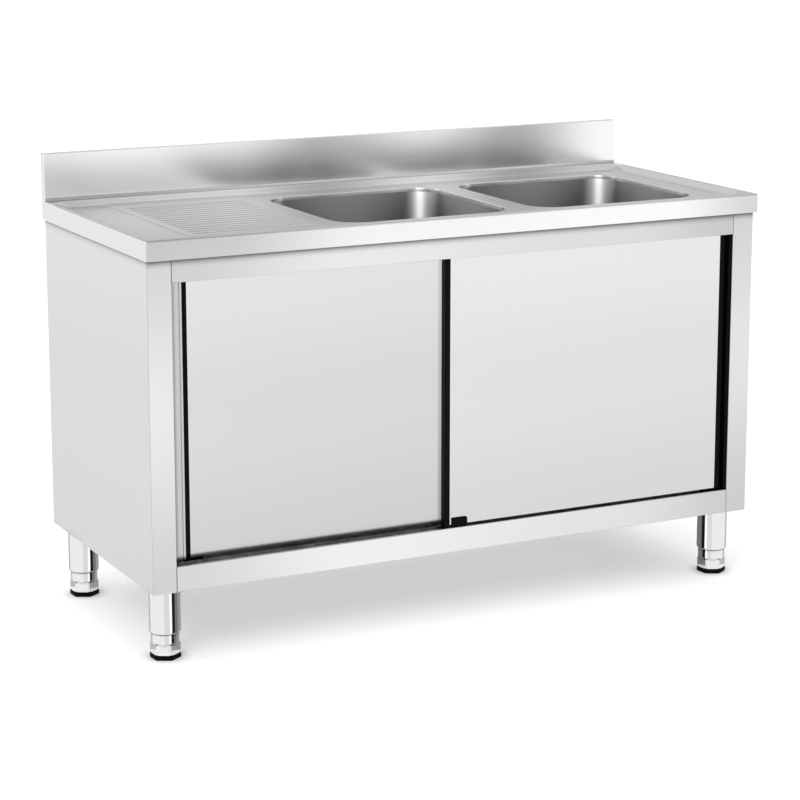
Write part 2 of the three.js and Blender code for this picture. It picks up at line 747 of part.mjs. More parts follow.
const CORNERS = [
  ["front_left", -LEG_X, LEG_FRONT_Y],
  ["front_right", LEG_X, LEG_FRONT_Y],
  ["back_left", -LEG_X, LEG_BACK_Y],
  ["back_right", LEG_X, LEG_BACK_Y],
];

for (const [corner, x, y] of CORNERS) {
  const group = new THREE.Group();
  group.position.set(x, y, 0);
  sink.add(group);
  place(`leg_${corner}`, leg(), POLISHED, [0, 0, 0], group);
  place(`foot_${corner}`, foot(), POLISHED, [0, 0, 0], group);
  place(`foot_pad_${corner}`, hexagon(PAD_RADIUS, 0, PAD_TOP), BLACK_RUBBER, [0, 0, 0], group);
}

// ---------------------------------------------------------------- doors

// Each door is drawn with its lower front left corner line at x = 0, y = 0.
const SKIN_X = [EDGE_WIDTH + GAP, DOOR_WIDTH - EDGE_WIDTH - GAP];
const SKIN_DEPTH = DOOR_THICK - SHEET - GAP;

function doorSkin() {
  const [x0, x1] = SKIN_X;
  const tray = block(x0, x1, 0, SKIN_DEPTH, DOOR_BOTTOM, DOOR_TOP);
  const [z0, z1] = [DOOR_BOTTOM + SHEET, DOOR_TOP - SHEET];
  const inside = block(x0 + SHEET, x1 - SHEET, SHEET, DOOR_THICK, z0, z1);
  return tray.subtract(inside);
}

// Inner pan of the door, its edges folded forward inside the skin's.
function doorLiner() {
  const inset = SHEET + GAP;
  const lip = 8;
  const [x0, x1] = [SKIN_X[0] + inset, SKIN_X[1] - inset];
  const [z0, z1] = [DOOR_BOTTOM + inset, DOOR_TOP - inset];
  const pan = block(x0, x1, DOOR_THICK - SHEET - lip, DOOR_THICK, z0, z1);
  const inside = block(x0 + SHEET, x1 - SHEET, 0, DOOR_THICK - SHEET, z0 + SHEET, z1 - SHEET);
  return pan.subtract(inside);
}

// Black profile on an upright edge, with rounded outer corners and a shallow groove.
function edgeSection() {
  const round = 2;
  return [
    ...arc(round, round, round, 180, 270, 2),
    [5, 0],
    [6, 0.8],
    [7, 0],
    [EDGE_WIDTH, 0],
    [EDGE_WIDTH, DOOR_THICK],
    ...arc(round, DOOR_THICK - round, round, 90, 180, 2),
  ];
}

// Hanger on the door's top edge: a foot, a blade and the pin that carries the roller.
function rollerHanger() {
  const mid = DOOR_THICK / 2;
  const low = DOOR_TOP + GAP;
  const pinEnd = mid + 0.5 + ROLLER_WIDTH + 0.3;
  const headRadius = 5;
  return join(
    block(-20, 20, 2, DOOR_THICK - 2, low, low + 2.5),
    block(-14, 14, mid - 3.5, mid - 1, low, AXLE_Z + 8),
    barAlongY(0, AXLE_Z, PIN_RADIUS, mid - 2, pinEnd + 0.5, 16),
    barAlongY(0, AXLE_Z, headRadius, pinEnd, pinEnd + 1.2, 16),
  );
}

function roller() {
  const y0 = DOOR_THICK / 2 + 0.5;
  const y1 = y0 + ROLLER_WIDTH;
  return cut(
    barAlongY(0, 0, ROLLER_RADIUS, y0, y1),
    barAlongY(0, 0, BORE_RADIUS, y0 - 5, y1 + 5, 16),
  );
}

const SHOE_LONG = 40;
const SHOE_LOW = DOOR_BOTTOM - 2.5;

// Shoe under a door corner: a plate below the edge and a tongue in the track.
function guideShoe(x0, x1, front) {
  return join(
    block(x0, x1, front, DOOR_THICK - 1, SHOE_LOW, DOOR_BOTTOM - GAP),
    block(x0, x1, 5, 12, SHELF_Z + 4, SHOE_LOW + 0.5),
  );
}

// Shoe at the meeting edge of the front door: it reaches past the edge and has a lug with one
// rounded corner on the door's face.
function lugShoe() {
  const high = DOOR_BOTTOM + 16.5;
  const thick = 3.3;
  const past = 10;
  const x1 = EDGE_WIDTH + SHOE_LONG;
  const outline = [
    [EDGE_WIDTH, SHOE_LOW],
    [x1, SHOE_LOW],
    ...arc(x1 - 5, high - 5, 5, 0, 90, 3),
    ...arc(EDGE_WIDTH + 1, high - 1, 1, 90, 180, 1),
  ];
  const turn = new THREE.Matrix4().makeBasis(
    new THREE.Vector3(1, 0, 0),
    new THREE.Vector3(0, 0, 1),
    new THREE.Vector3(0, -1, 0),
  );
  const shape = new THREE.Shape(outline.map(([x, z]) => new THREE.Vector2(x, z)));
  const lug = new THREE.ExtrudeGeometry(shape, { depth: thick, bevelEnabled: false });
  return guideShoe(-past, x1, -GAP - thick)
    .add(solidOf(lug.applyMatrix4(turn).translate(0, -GAP, 0)));
}

function addDoor(side, { x, y }, leftShoe) {
  const door = new THREE.Group();
  door.position.set(x, y, 0);
  sink.add(door);
  const put = (name, solid, material, position) => place(name, solid, material, position, door);
  put(`door_${side}_skin`, doorSkin(), BRUSHED);
  put(`door_${side}_liner`, doorLiner(), BRUSHED);
  put(`door_${side}_edge_left`, upright(edgeSection(), DOOR_BOTTOM, DOOR_TOP), BLACK_PROFILE);
  put(`door_${side}_edge_right`, upright(mirrorX(edgeSection()), DOOR_BOTTOM, DOOR_TOP),
    BLACK_PROFILE, [DOOR_WIDTH, 0, 0]);
  put(`door_${side}_shoe_left`, leftShoe, BLACK_PROFILE);
  put(`door_${side}_shoe_right`, guideShoe(DOOR_WIDTH - 1 - SHOE_LONG, DOOR_WIDTH - 1, 1),
    BLACK_PROFILE);
  HANGER_X.forEach((hangerX, i) => {
    const end = i === 0 ? "left" : "right";
    put(`door_${side}_hanger_${end}`, rollerHanger(), GALVANISED, [hangerX, 0, 0]);
    put(`door_${side}_roller_${end}`, roller(), NYLON, [hangerX, 0, AXLE_Z]);
  });
}

addDoor("left", REAR_DOOR, guideShoe(1, 1 + SHOE_LONG, 1));
addDoor("right", FRONT_DOOR, lugShoe());

export default sink;
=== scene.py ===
# %% [markdown]
# # A steel sink cabinet, dressed for its picture
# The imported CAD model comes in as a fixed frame. Every visible sheet, tube and moulding is then
# modelled again over it with soft bends and real finishes, and rides on the body that carries it.

# %% Load the frame
import json
import math

import bmesh
import bpy
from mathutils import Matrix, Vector


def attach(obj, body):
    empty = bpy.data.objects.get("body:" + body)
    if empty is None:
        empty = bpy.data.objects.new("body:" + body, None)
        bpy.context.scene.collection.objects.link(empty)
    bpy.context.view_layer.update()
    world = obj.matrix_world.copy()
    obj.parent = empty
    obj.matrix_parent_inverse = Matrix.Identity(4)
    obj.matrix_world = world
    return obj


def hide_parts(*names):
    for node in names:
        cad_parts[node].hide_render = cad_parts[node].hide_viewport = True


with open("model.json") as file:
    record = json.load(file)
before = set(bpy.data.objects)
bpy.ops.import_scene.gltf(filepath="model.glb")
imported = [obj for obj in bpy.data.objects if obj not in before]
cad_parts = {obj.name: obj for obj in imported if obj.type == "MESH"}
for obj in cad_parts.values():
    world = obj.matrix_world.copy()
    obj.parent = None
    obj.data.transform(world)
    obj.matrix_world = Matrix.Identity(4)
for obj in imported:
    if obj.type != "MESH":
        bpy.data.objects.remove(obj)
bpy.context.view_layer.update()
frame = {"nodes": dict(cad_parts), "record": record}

# %% [markdown]
# ## The camera
# The photograph is a long-lens view from the left of the front and a little above. The numbers come
# from a fit of the cabinet's corners to the picture. A small upward shift keeps the pitch low, so
# that the uprights stay nearly parallel, as they are in the picture.

# %% Camera
PHOTO = 800  # pixels along each side of the frame
FOCAL = 2470.1  # focal length in pixels
SENSOR = 36.0  # mm
YAW, PITCH = 0.47123, 0.20043  # radians, to the right and down
STAND = (-2.36445, -4.62506, 1.60445)  # m

camera_data = bpy.data.cameras.new("product_camera")
camera = bpy.data.objects.new("product_camera", camera_data)
bpy.context.scene.collection.objects.link(camera)
camera.location = STAND
camera.rotation_euler = (math.pi / 2 - PITCH, 0, -YAW)
camera_data.sensor_width = SENSOR
camera_data.lens = FOCAL / PHOTO * SENSOR
camera_data.shift_y = -0.08
camera_data.clip_end = 100
bpy.context.scene.camera = camera
bpy.context.scene.view_settings.view_transform = "Standard"
print("camera lens", round(camera_data.lens, 2), "mm")

# %% [markdown]
# ## Helpers for finishes
# Colours are written as sRGB hex, as a paint maker gives them, and one function turns them to the
# linear values that Blender computes with. One more adds a node with its settings and links. The
# others are short ways to do sums on tones and to join them to a shader.

# %% Colour and node helpers
MM = 0.001


def paint(hex_colour):
    parts = [int(hex_colour[i:i + 2], 16) / 255 for i in (1, 3, 5)]
    linear = [p / 12.92 if p <= 0.04045 else ((p + 0.055) / 1.055) ** 2.4 for p in parts]
    return (*linear, 1)


def add(tree, kind, inputs=None, **settings):
    made = tree.nodes.new("ShaderNode" + kind)
    for name, value in settings.items():
        setattr(made, name, value)
    for name, value in (inputs or {}).items():
        if isinstance(value, bpy.types.NodeSocket):
            tree.links.new(value, made.inputs[name])
        else:
            made.inputs[name].default_value = value
    return made


def reckon(tree, operation, first, second=0.5):
    return add(tree, "Math", {0: first, 1: second}, operation=operation).outputs[0]


def spread(tree, value, low, high, start=0, end=1, **settings):
    """Low where value is start, high where it is end, and even in between."""
    ends = {0: value, "From Min": start, "From Max": end, "To Min": low, "To Max": high}
    return add(tree, "MapRange", ends, **settings).outputs[0]


def blend(tree, factor, first, second):
    return add(tree, "Mix", {"Factor": factor, "A": first, "B": second},
               data_type="RGBA").outputs["Result"]


def new_finish(name):
    material = bpy.data.materials.new(name)
    material.use_nodes = True
    tree = material.node_tree
    return material, tree, tree.nodes["Principled BSDF"]


def place_of(tree):
    """The place on the object, in metres, that patterns follow."""
    return add(tree, "TexCoord").outputs["Object"]


def feed(tree, shader, **sockets):
    for name, value in sockets.items():
        tree.links.new(value, shader.inputs[name.replace("_", " ")])


print("white is", paint("#FFFFFF"))

# %% [markdown]
# ## Brushed stainless steel
# Sheet steel leaves the mill with a fine grain, ground in along its length. The eye sees a soft
# mirror: reflections are drawn out across the grain. It could be a plain grey metal, but then wide
# panels look like paint. Here a tangent across the grain stretches the reflections, a ramp paints
# light and shade along a sheet, and a stretched noise varies the gloss. Sideways faces, upper faces
# and faces past a level can take painted tones of their own, and painted shade darkens narrow gaps.

# %% Brushed steel
STREAK_WIDTH, STREAK_LENGTH = 2.2, 260  # mm; the real grain is too fine for this picture
GAP_REACH, GAP_POWER = 20, 4.5  # mm from which painted shade starts to darken a gap, and how fast it does
GLOSS_RANGE, TONE_RANGE = 0.02, 0.015  # how far the streaks take roughness and tone either way
AO_RAYS = 16
TILT = 0.05  # keeps the tangent clear of zero where a face looks along the grain


def gap_shade(tree, reach, power):
    """Painted shade: 1 on open surfaces, falling towards 0 in gaps and corners."""
    open_part = add(tree, "AmbientOcclusion", {"Distance": reach * MM}, samples=AO_RAYS)
    return reckon(tree, "POWER", open_part.outputs["AO"], power)


def eased_ramp(tree, share, light_and_shade_stops):
    """A ramp that eases through (share, tone) stops: painted light and shade on steel, light levels
    in the world.
    """
    ramp = add(tree, "ValToRGB", {0: share})
    ramp.color_ramp.interpolation = "EASE"
    while len(ramp.color_ramp.elements) < len(light_and_shade_stops):
        ramp.color_ramp.elements.new(0.5)
    for stop, (position, tone) in zip(ramp.color_ramp.elements, light_and_shade_stops):
        stop.position, stop.color = position, paint(tone)
    return ramp.outputs[0]


def brushed_steel(name, axis, span, light_and_shade_stops, grain, smooth=0.24, side=None, top=None,
                  gaps=GAP_POWER, beyond=None, pull=0.4, reach=GAP_REACH, rear=None):
    """The (share, tone) stops of painted light and shade run along an axis between the two ends of
    span, and beyond is (axis, level, stops) for what looks forward or sideways past a level. side
    is the painted tone of faces that look sideways. top is painted stops for upper faces and goes
    with
    rear, which is (start, end, factor): between two places on Y the upper faces' tone is lifted to
    factor times itself, as painted light."""
    material, tree, shader = new_finish(name)
    place = place_of(tree)
    normal = add(tree, "NewGeometry").outputs["Normal"]
    parts = add(tree, "SeparateXYZ", {0: place}).outputs
    share = spread(tree, parts[axis], 0, 1, span[0] * MM, span[1] * MM)
    front = eased_ramp(tree, share, light_and_shade_stops)
    if beyond:
        level_axis, level, painted_stops_beyond = beyond
        past = reckon(tree, "GREATER_THAN", parts[level_axis], level * MM)
        looks_back = add(tree, "SeparateXYZ", {0: normal}).outputs["Y"]
        past = reckon(tree, "MULTIPLY", past, reckon(tree, "LESS_THAN", looks_back, 0.5))
        front = blend(tree, past, front, eased_ramp(tree, share, painted_stops_beyond))
    # Faces that look sideways take the painted tone given as side, in place of the ramp.
    tones = {"X": paint(side)[0] if side else front, "Y": front, "Z": front}
    # Upper faces take their own painted stops, and between two places on Y they are lifted as
    # painted light.
    if top:
        start, end, factor = rear
        painted_rim_light = spread(tree, parts["Y"], 1, factor, start * MM, end * MM)
        tones["Z"] = reckon(tree, "MULTIPLY", eased_ramp(tree, share, top), painted_rim_light)
    squares = add(tree, "VectorMath", {0: normal, 1: normal}, operation="MULTIPLY").outputs[0]
    tones = add(tree, "CombineXYZ", tones).outputs[0]
    tone = add(tree, "VectorMath", {0: squares, 1: tones}, operation="DOT_PRODUCT").outputs["Value"]
    scale = [1 / (STREAK_WIDTH * MM)] * 3
    scale["XYZ".index(grain)] = 1 / (STREAK_LENGTH * MM)
    stretched = add(tree, "Mapping", {"Vector": place, "Scale": scale}).outputs[0]
    lines = add(tree, "TexNoise", {"Vector": stretched, "Scale": 1, "Detail": 3}).outputs[0]
    streaks = spread(tree, lines, 1 - TONE_RANGE, 1 + TONE_RANGE)
    colour = reckon(tree, "MULTIPLY", tone, streaks)
    # Painted shade darkens the steel in gaps and corners.
    if gaps:
        colour = reckon(tree, "MULTIPLY", colour, gap_shade(tree, reach, gaps))
    line = {"X": (1, TILT, 0), "Y": (TILT, 1, 0), "Z": (TILT, 0, 1)}[grain]
    across = add(tree, "VectorMath", {0: normal, 1: line}, operation="CROSS_PRODUCT").outputs[0]
    feed(tree, shader, Base_Color=colour, Tangent=across,
         Roughness=spread(tree, lines, smooth - GLOSS_RANGE, smooth + GLOSS_RANGE))
    shader.inputs["Metallic"].default_value = 1
    shader.inputs["Anisotropic"].default_value = pull
    return material


print("streaks", STREAK_WIDTH, "by", STREAK_LENGTH, "mm")

# %% [markdown]
# The worktop, the rails, the posts, the doors and the sides each get their own painted light and
# shade. The doors are smoother and lie in no narrow gap, so they get no painted gap shade.

# %% Sheet by sheet
FACE_X, CARCASS_Z, DOOR_SPAN = (-645, 645), (148, 838), (203, 770)
# Painted light: each door is lighter towards the top, and the left door, set back in shade, is
# darker than the right.
DOOR_PAINTED_LIGHT = {"left": ((0, "#BEBEBE"), (0.5, "#C7C7C7"), (1, "#D4D4D4")),
               "right": ((0, "#C6C6C6"), (0.5, "#D0D0D0"), (1, "#DBDBDB"))}

# Painted light and shade: the front lighter in the middle than at the ends, the deck darker, the
# upper faces towards the back lifted, and two dark patches on the upstand as painted reflections of
# the bowls.
worktop_steel = brushed_steel(
    "steel_worktop_satin", "X", (-700, 700),
    ((0, "#BCBCBC"), (0.1, "#C0C0C0"), (0.36, "#E7E7E7"), (0.84, "#EEEEEE"), (1, "#CCCCCC")),
    "X", 0.2, side="#D5D5D5",
    top=((0, "#AEAEAE"), (0.3, "#C6C6C6"), (0.8, "#CECECE"), (1, "#C2C2C2")),
    gaps=2.5, reach=6, rear=(225, 246, 1.6),
    beyond=("Z", 856, (
        (0, "#F0F0F0"), (0.1, "#FCFCFC"), (0.3, "#F8F8F8"), (0.46, "#C2C2C2"), (0.64, "#F6F6F6"),
        (0.82, "#B4B4B4"), (0.98, "#ECECEC"))))
# Painted light: the rails are lighter in the middle than at their ends.
rail_steel = brushed_steel(
    "steel_rails_brushed", "X", FACE_X,
    ((0, "#C4C4C4"), (0.3, "#DCDCDC"), (0.8, "#D1D1D1"), (1, "#BFBFBF")), "X")
# Painted light and shade: the posts lighter a little above mid-height, and darker on their sideways
# faces and on the parts set back beside the doors.
post_steel = brushed_steel(
    "steel_posts_brushed", "Z", CARCASS_Z, ((0, "#BEBEBE"), (0.55, "#D5D5D5"), (1, "#C8C8C8")), "Z",
    side="#C0C0C0", beyond=("Y", -285, ((0, "#B4B4B4"), (1, "#BCBCBC"))))
door_steel = {side: brushed_steel(f"steel_door_{side}_brushed", "Z", DOOR_SPAN, light_and_shade_stops, "X", 0.16,
                                 gaps=None, pull=0.2) for side, light_and_shade_stops in DOOR_PAINTED_LIGHT.items()}
# Painted shade: the side panels darker towards the bottom.
side_steel = brushed_steel("steel_sides_brushed", "Z", CARCASS_Z,
                           ((0, "#BCBCBC"), (0.5, "#C4C4C4"), (1, "#CECECE")), "Y")
inner_steel = brushed_steel(
    "steel_inside_brushed", "Z", CARCASS_Z, ((0, "#CFCFCF"), (1, "#D8D8D8")), "X")
print("brushed steels", worktop_steel.name, rail_steel.name, post_steel.name, side_steel.name)

# %% [markdown]
# The bowls are drawn from one sheet in a press and polished round their walls. That level grain
# draws a highlight out into an upright band in each corner, and a painted highlight brightens the
# steel there too. The walls see mostly each other, so the steel is given a dark tone as painted
# shade, and painted shade deepens with the depth of the bowl.

# %% Pressed bowl steel
POLISH_GRAIN = 3  # mm, drawn coarser than the real polishing marks
DEPTH_SHADE, DEPTH_POWER = 180, 2.4  # mm over which painted shade darkens the walls, and how fast it does
# The walls' dark tone is painted shade.
WALL_PAINTED_SHADE_TONE, WALL_GLOSS = (0.4, 0.43), (0.45, 0.49)
# Corners are found by how far a wall looks along both X and Y at once, and get a painted highlight.
CORNER_START, CORNER_FULL, CORNER_HIGHLIGHT = 0.12, 0.46, 2.2

bowl_steel, tree, shader = new_finish("steel_bowl_satin")
grain = add(tree, "TexNoise", {"Vector": place_of(tree), "Scale": 1 / (POLISH_GRAIN * MM),
                               "Detail": 2}).outputs[0]
colour = reckon(tree, "MULTIPLY", spread(tree, grain, *WALL_PAINTED_SHADE_TONE),
                gap_shade(tree, DEPTH_SHADE, DEPTH_POWER))
facing = add(tree, "SeparateXYZ", {0: add(tree, "NewGeometry").outputs["Normal"]}).outputs
cornering = reckon(tree, "ABSOLUTE", reckon(tree, "MULTIPLY", facing["X"], facing["Y"]))
painted_corner_highlight = spread(tree, cornering, 1, CORNER_HIGHLIGHT, CORNER_START, CORNER_FULL,
                interpolation_type="SMOOTHSTEP")
feed(tree, shader, Base_Color=reckon(tree, "MULTIPLY", colour, painted_corner_highlight),
     Roughness=spread(tree, grain, *WALL_GLOSS),
     Tangent=add(tree, "CombineXYZ", {"X": 0.01, "Z": 1}).outputs[0])
shader.inputs["Metallic"].default_value = 1
shader.inputs["Anisotropic"].default_value = 0.6
print("bowl finish", bowl_steel.name)

# %% [markdown]
# ## Polished steel
# Legs, screw feet and strainers are turned or drawn steel, polished almost to a mirror. Very fine
# rings from the polishing wheel break up the reflections a little, and painted shade darkens joints
# and grooves.

# %% Polished steel
CREVICE, CREVICE_POWER = 6, 2  # mm from which painted shade starts to darken a joint or groove, and how fast
RING_PITCH, RING_STRETCH = 1.5, 20  # mm between rings, drawn coarser than they are, and per metre
MIRROR_TONE = 0.8

polished_steel, tree, shader = new_finish("steel_polished")
rings = add(tree, "Mapping", {"Vector": place_of(tree), "Scale": (
    RING_STRETCH, RING_STRETCH, 1 / (RING_PITCH * MM))}).outputs[0]
marks = add(tree, "TexNoise", {"Vector": rings, "Scale": 1, "Detail": 2}).outputs[0]
feed(tree, shader, Roughness=spread(tree, marks, 0.08, 0.12), Base_Color=reckon(
    tree, "MULTIPLY", gap_shade(tree, CREVICE, CREVICE_POWER), MIRROR_TONE))
shader.inputs["Metallic"].default_value = 1
print("polished finish", polished_steel.name)

# %% [markdown]
# ## Galvanised steel
# Hidden channels and tracks are dipped in zinc, which freezes into flat crystals a centimetre wide.
# Each crystal reflects a little differently, so a Voronoi pattern gives every cell its own tone.

# %% Galvanised steel
CRYSTAL = 9  # mm
TRACK_REACH, TRACK_POWER = 40, 0.25  # mm from which painted shade starts to darken a channel's inside, how fast

galvanised, tree, shader = new_finish("zinc_spangle")
cells = add(tree, "TexVoronoi", {"Vector": place_of(tree), "Scale": 1 / (CRYSTAL * MM)})
cells = cells.outputs["Color"]
# Painted shade darkens the inside of channels.
shaded = add(tree, "VectorMath", {0: blend(tree, cells, paint("#A9AAAB"), paint("#C3C4C5")),
                                  "Scale": gap_shade(tree, TRACK_REACH, TRACK_POWER)},
             operation="SCALE").outputs[0]
feed(tree, shader, Base_Color=shaded, Roughness=spread(tree, cells, 0.32, 0.5))
shader.inputs["Metallic"].default_value = 1
print("zinc finish", galvanised.name)

# %% [markdown]
# ## Plastics and rubber
# The door profiles are extruded black plastic with a satin skin and faint lines along their length.
# Pads and seals are moulded rubber, deeper black and duller. The drain is white polypropylene and
# the rollers are nylon: both show a light orange-peel from the mould.

# %% Plastics and rubber
PEEL_DEPTH = 0.2  # mm


def moulded(name, colours, roughness, grain, stretch=(1, 1, 1), strength=0.08):
    material, tree, shader = new_finish(name)
    drawn = add(tree, "Mapping", {"Vector": place_of(tree), "Scale": stretch}).outputs[0]
    peel = add(tree, "TexNoise", {"Vector": drawn, "Scale": 1 / (grain * MM), "Detail": 2})
    peel = peel.outputs[0]
    bump = add(tree, "Bump", {"Height": peel, "Strength": strength, "Distance": PEEL_DEPTH * MM})
    feed(tree, shader, Base_Color=blend(tree, peel, *map(paint, colours)),
         Roughness=spread(tree, peel, *roughness), Normal=bump.outputs[0])
    return material


BLACKS, ALONG = ("#030303", "#060606"), (1, 1, 0.02)
black_profile = moulded("pvc_black_satin", BLACKS, (0.16, 0.22), 2, ALONG, 0.02)
black_rubber = moulded("rubber_black_dull", BLACKS, (0.6, 0.75), 1.5)
for dark in (black_profile, black_rubber):
    dark.node_tree.nodes["Principled BSDF"].inputs["Specular IOR Level"].default_value = 0.06
white_plastic = moulded("polypropylene_white", ("#E6E6E3", "#ECECEA"), (0.32, 0.42), 2.5)
nylon = moulded("nylon_natural", ("#DAD8D0", "#E3E1DA"), (0.4, 0.5), 2)
print("plastics", black_profile.name, black_rubber.name, white_plastic.name, nylon.name)

# %% [markdown]
# ## Finishes by slot
# The record names one slot for each finish. Every CAD node takes its slot's finish first, so that
# nothing is left grey, and the modelled pieces take theirs as they are made.

# %% Dress the CAD nodes
SLOT_FINISH = {
    "brushed_steel": inner_steel,
    "polished_steel": polished_steel,
    "galvanised_steel": galvanised,
    "black_profile": black_profile,
    "black_rubber": black_rubber,
    "white_plastic": white_plastic,
    "nylon": nylon,
}
for part in frame["record"]["subparts"]:
    for material_slot in frame["nodes"][part["node"]].material_slots:
        material_slot.material = SLOT_FINISH[part["material_slot"]]
print("CAD nodes dressed:", len(frame["nodes"]))

# %% [markdown]
# ## Helpers for modelling
# The pieces are built as by hand: a primitive at its size and place, then edit-mode operators on
# faces and edges picked by where they are. All sizes below are millimetres in the CAD's frame, and
# these helpers turn them to metres.

# %% Helpers for whole pieces


def done():
    """Leaves edit mode."""
    bpy.ops.object.mode_set(mode="OBJECT")


def calm():
    """Object mode with nothing selected."""
    if bpy.context.object and bpy.context.object.mode != "OBJECT":
        done()
    bpy.ops.object.select_all(action="DESELECT")


def take(piece):
    """Makes one piece the only selected and active one."""
    calm()
    piece.select_set(True)
    bpy.context.view_layer.objects.active = piece
    return piece


def settle(name):
    """Names the new primitive and moves its place and size into its mesh."""
    piece = bpy.context.object
    piece.name = name
    bpy.ops.object.transform_apply(location=True, rotation=True, scale=True)
    return piece


def block(name, low, high):
    calm()
    low, high = Vector(low) * MM, Vector(high) * MM
    bpy.ops.mesh.primitive_cube_add(size=1, location=(low + high) / 2)
    bpy.context.object.scale = high - low
    return settle(name)


def copy(piece, name, shift):
    take(piece)
    bpy.ops.object.duplicate()
    bpy.context.object.location = Vector(shift) * MM
    return settle(name)


def apply(piece, kind, **settings):
    """Adds one modifier, sets it and applies it."""
    take(piece)
    modifier = piece.modifiers.new(kind.lower(), kind)
    for name, value in settings.items():
        setattr(modifier, name, value)
    bpy.ops.object.modifier_apply(modifier=modifier.name)


def carve(piece, tool, operation="DIFFERENCE"):
    apply(piece, "BOOLEAN", object=tool, operation=operation, solver="EXACT")
    bpy.data.objects.remove(tool)


def thicken(sheet, gauge=1.0):
    """Gives a surface its sheet thickness, on the side away from its normals."""
    apply(sheet, "SOLIDIFY", thickness=gauge * MM, offset=-1, use_even_offset=True)


print("whole pieces: take, settle, block, copy, apply, carve, thicken")

# %% Helpers for parts of a piece
ALL = lambda *where: True
WELD = 0.00001  # m; points nearer than this are one


def near(a, b, slack=0.05):
    return abs(a - b) < slack


def at(axis, value):
    """A test for points and edges that lie at one place on an axis."""
    return lambda *points: all(near(getattr(p, axis), value) for p in points)


def metres(*lengths):
    return tuple(length * MM for length in lengths)


def choose(piece, kind, test):
    """Edit mode with the VERT, EDGE or FACE elements selected for which test holds. A test gets
    a point, an edge's two ends, or a face's centre and normal, in millimetres."""
    take(piece)
    bpy.ops.object.mode_set(mode="EDIT")
    bpy.ops.mesh.select_mode(type=kind)
    bpy.ops.mesh.select_all(action="DESELECT")
    mesh = bmesh.from_edit_mesh(piece.data)
    if kind == "VERT":
        hits = [v for v in mesh.verts if test(v.co / MM)]
    elif kind == "EDGE":
        hits = [e for e in mesh.edges if test(e.verts[0].co / MM, e.verts[1].co / MM)]
    else:
        hits = [f for f in mesh.faces if test(f.calc_center_median() / MM, f.normal)]
    for hit in hits:
        hit.select_set(True)
    mesh.select_flush_mode()
    bmesh.update_edit_mesh(piece.data)
    return len(hits)


def round_off(piece, test, radius, segments=3):
    """Bevels the edges for which test holds."""
    if choose(piece, "EDGE", test):
        bpy.ops.mesh.bevel(offset=radius * MM, segments=segments, affect="EDGES",
                           clamp_overlap=True)
    done()


def lone_edge(name, low, high):
    """The edge of a block that runs from low along one axis to high: all the rest is deleted."""
    low, high = Vector(low), Vector(high)
    flat = [i for i in range(3) if near(low[i], high[i])]
    piece = block(name, low, [high[i] + (i in flat) for i in range(3)])
    choose(piece, "VERT", lambda v: any(not near(v[i], low[i]) for i in flat))
    bpy.ops.mesh.delete(type="VERT")
    choose(piece, "EDGE", ALL)
    return piece


def extrude(move):
    bpy.ops.mesh.extrude_region_move(TRANSFORM_OT_translate={"value": move})


def close_up(weld=False):
    """Ends the shaping of a surface: all its normals point outward."""
    bpy.ops.mesh.select_all(action="SELECT")
    if weld:
        bpy.ops.mesh.remove_doubles(threshold=WELD)
    bpy.ops.mesh.normals_make_consistent(inside=False)
    done()


def turn(piece, angle, axis, centre=(0, 0)):
    """Turns a whole piece about an axis through a point (x, y)."""
    choose(piece, "VERT", ALL)
    bpy.ops.transform.rotate(value=angle, orient_axis=axis, center_override=metres(*centre, 0))
    done()


def drop_faces(piece, test):
    choose(piece, "FACE", test)
    bpy.ops.mesh.delete(type="FACE")
    done()


def flip(piece):
    choose(piece, "FACE", ALL)
    bpy.ops.mesh.flip_normals()
    done()


def shift_into_place(piece, place):
    piece.location = Vector(place) * MM
    take(piece)
    bpy.ops.object.transform_apply(location=True, rotation=True, scale=True)


print("parts of a piece: choose, at, round_off, extrude, close_up, turn, drop_faces, flip")

# %% Helper for the finished piece
DRESSED = []


def dress(piece, material, body, *nodes, angle=32):
    """Smooth bends and flat faces, then the finish, the body it rides on and what it stands for."""
    take(piece)
    bpy.ops.object.shade_smooth_by_angle(angle=math.radians(angle))
    apply(piece, "WEIGHTED_NORMAL", keep_sharp=True)
    piece.data.materials.clear()
    piece.data.materials.append(material)
    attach(piece, body)
    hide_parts(*nodes)
    DRESSED.append(piece.name)


print("a dressed piece rides on its body and replaces its solids")

# %% [markdown]
# ## Worktop
# The real worktop is one sheet: pressed down inside a raised rim, punched for the bowls, turned
# down at the front and sides, and turned up into a boxed upstand. It could be a sheet bent flange
# by flange, but the pressed deck is easier to carve from a solid and hollow out at the end.

# %% Worktop body and upstand
HALF_WIDTH, FRONT, BACK = 700, -300, 300
RIM_Z, DECK_Z, SKIRT_Z, UPSTAND_TOP = 850, 841, 810, 950
UPSTAND_Y = 282

worktop = block("worktop_pressing", (-HALF_WIDTH, FRONT, SKIRT_Z), (HALF_WIDTH, BACK, RIM_Z))
choose(worktop, "FACE", ALL)
bpy.ops.mesh.bisect(plane_co=(0, UPSTAND_Y * MM, 0), plane_no=(0, 1, 0))
choose(worktop, "FACE", lambda centre, normal: normal.z > 0.9 and centre.y > UPSTAND_Y)
extrude(metres(0, 0, UPSTAND_TOP - RIM_Z))
bpy.ops.mesh.select_all(action="SELECT")
bpy.ops.mesh.dissolve_limited(angle_limit=0.01)

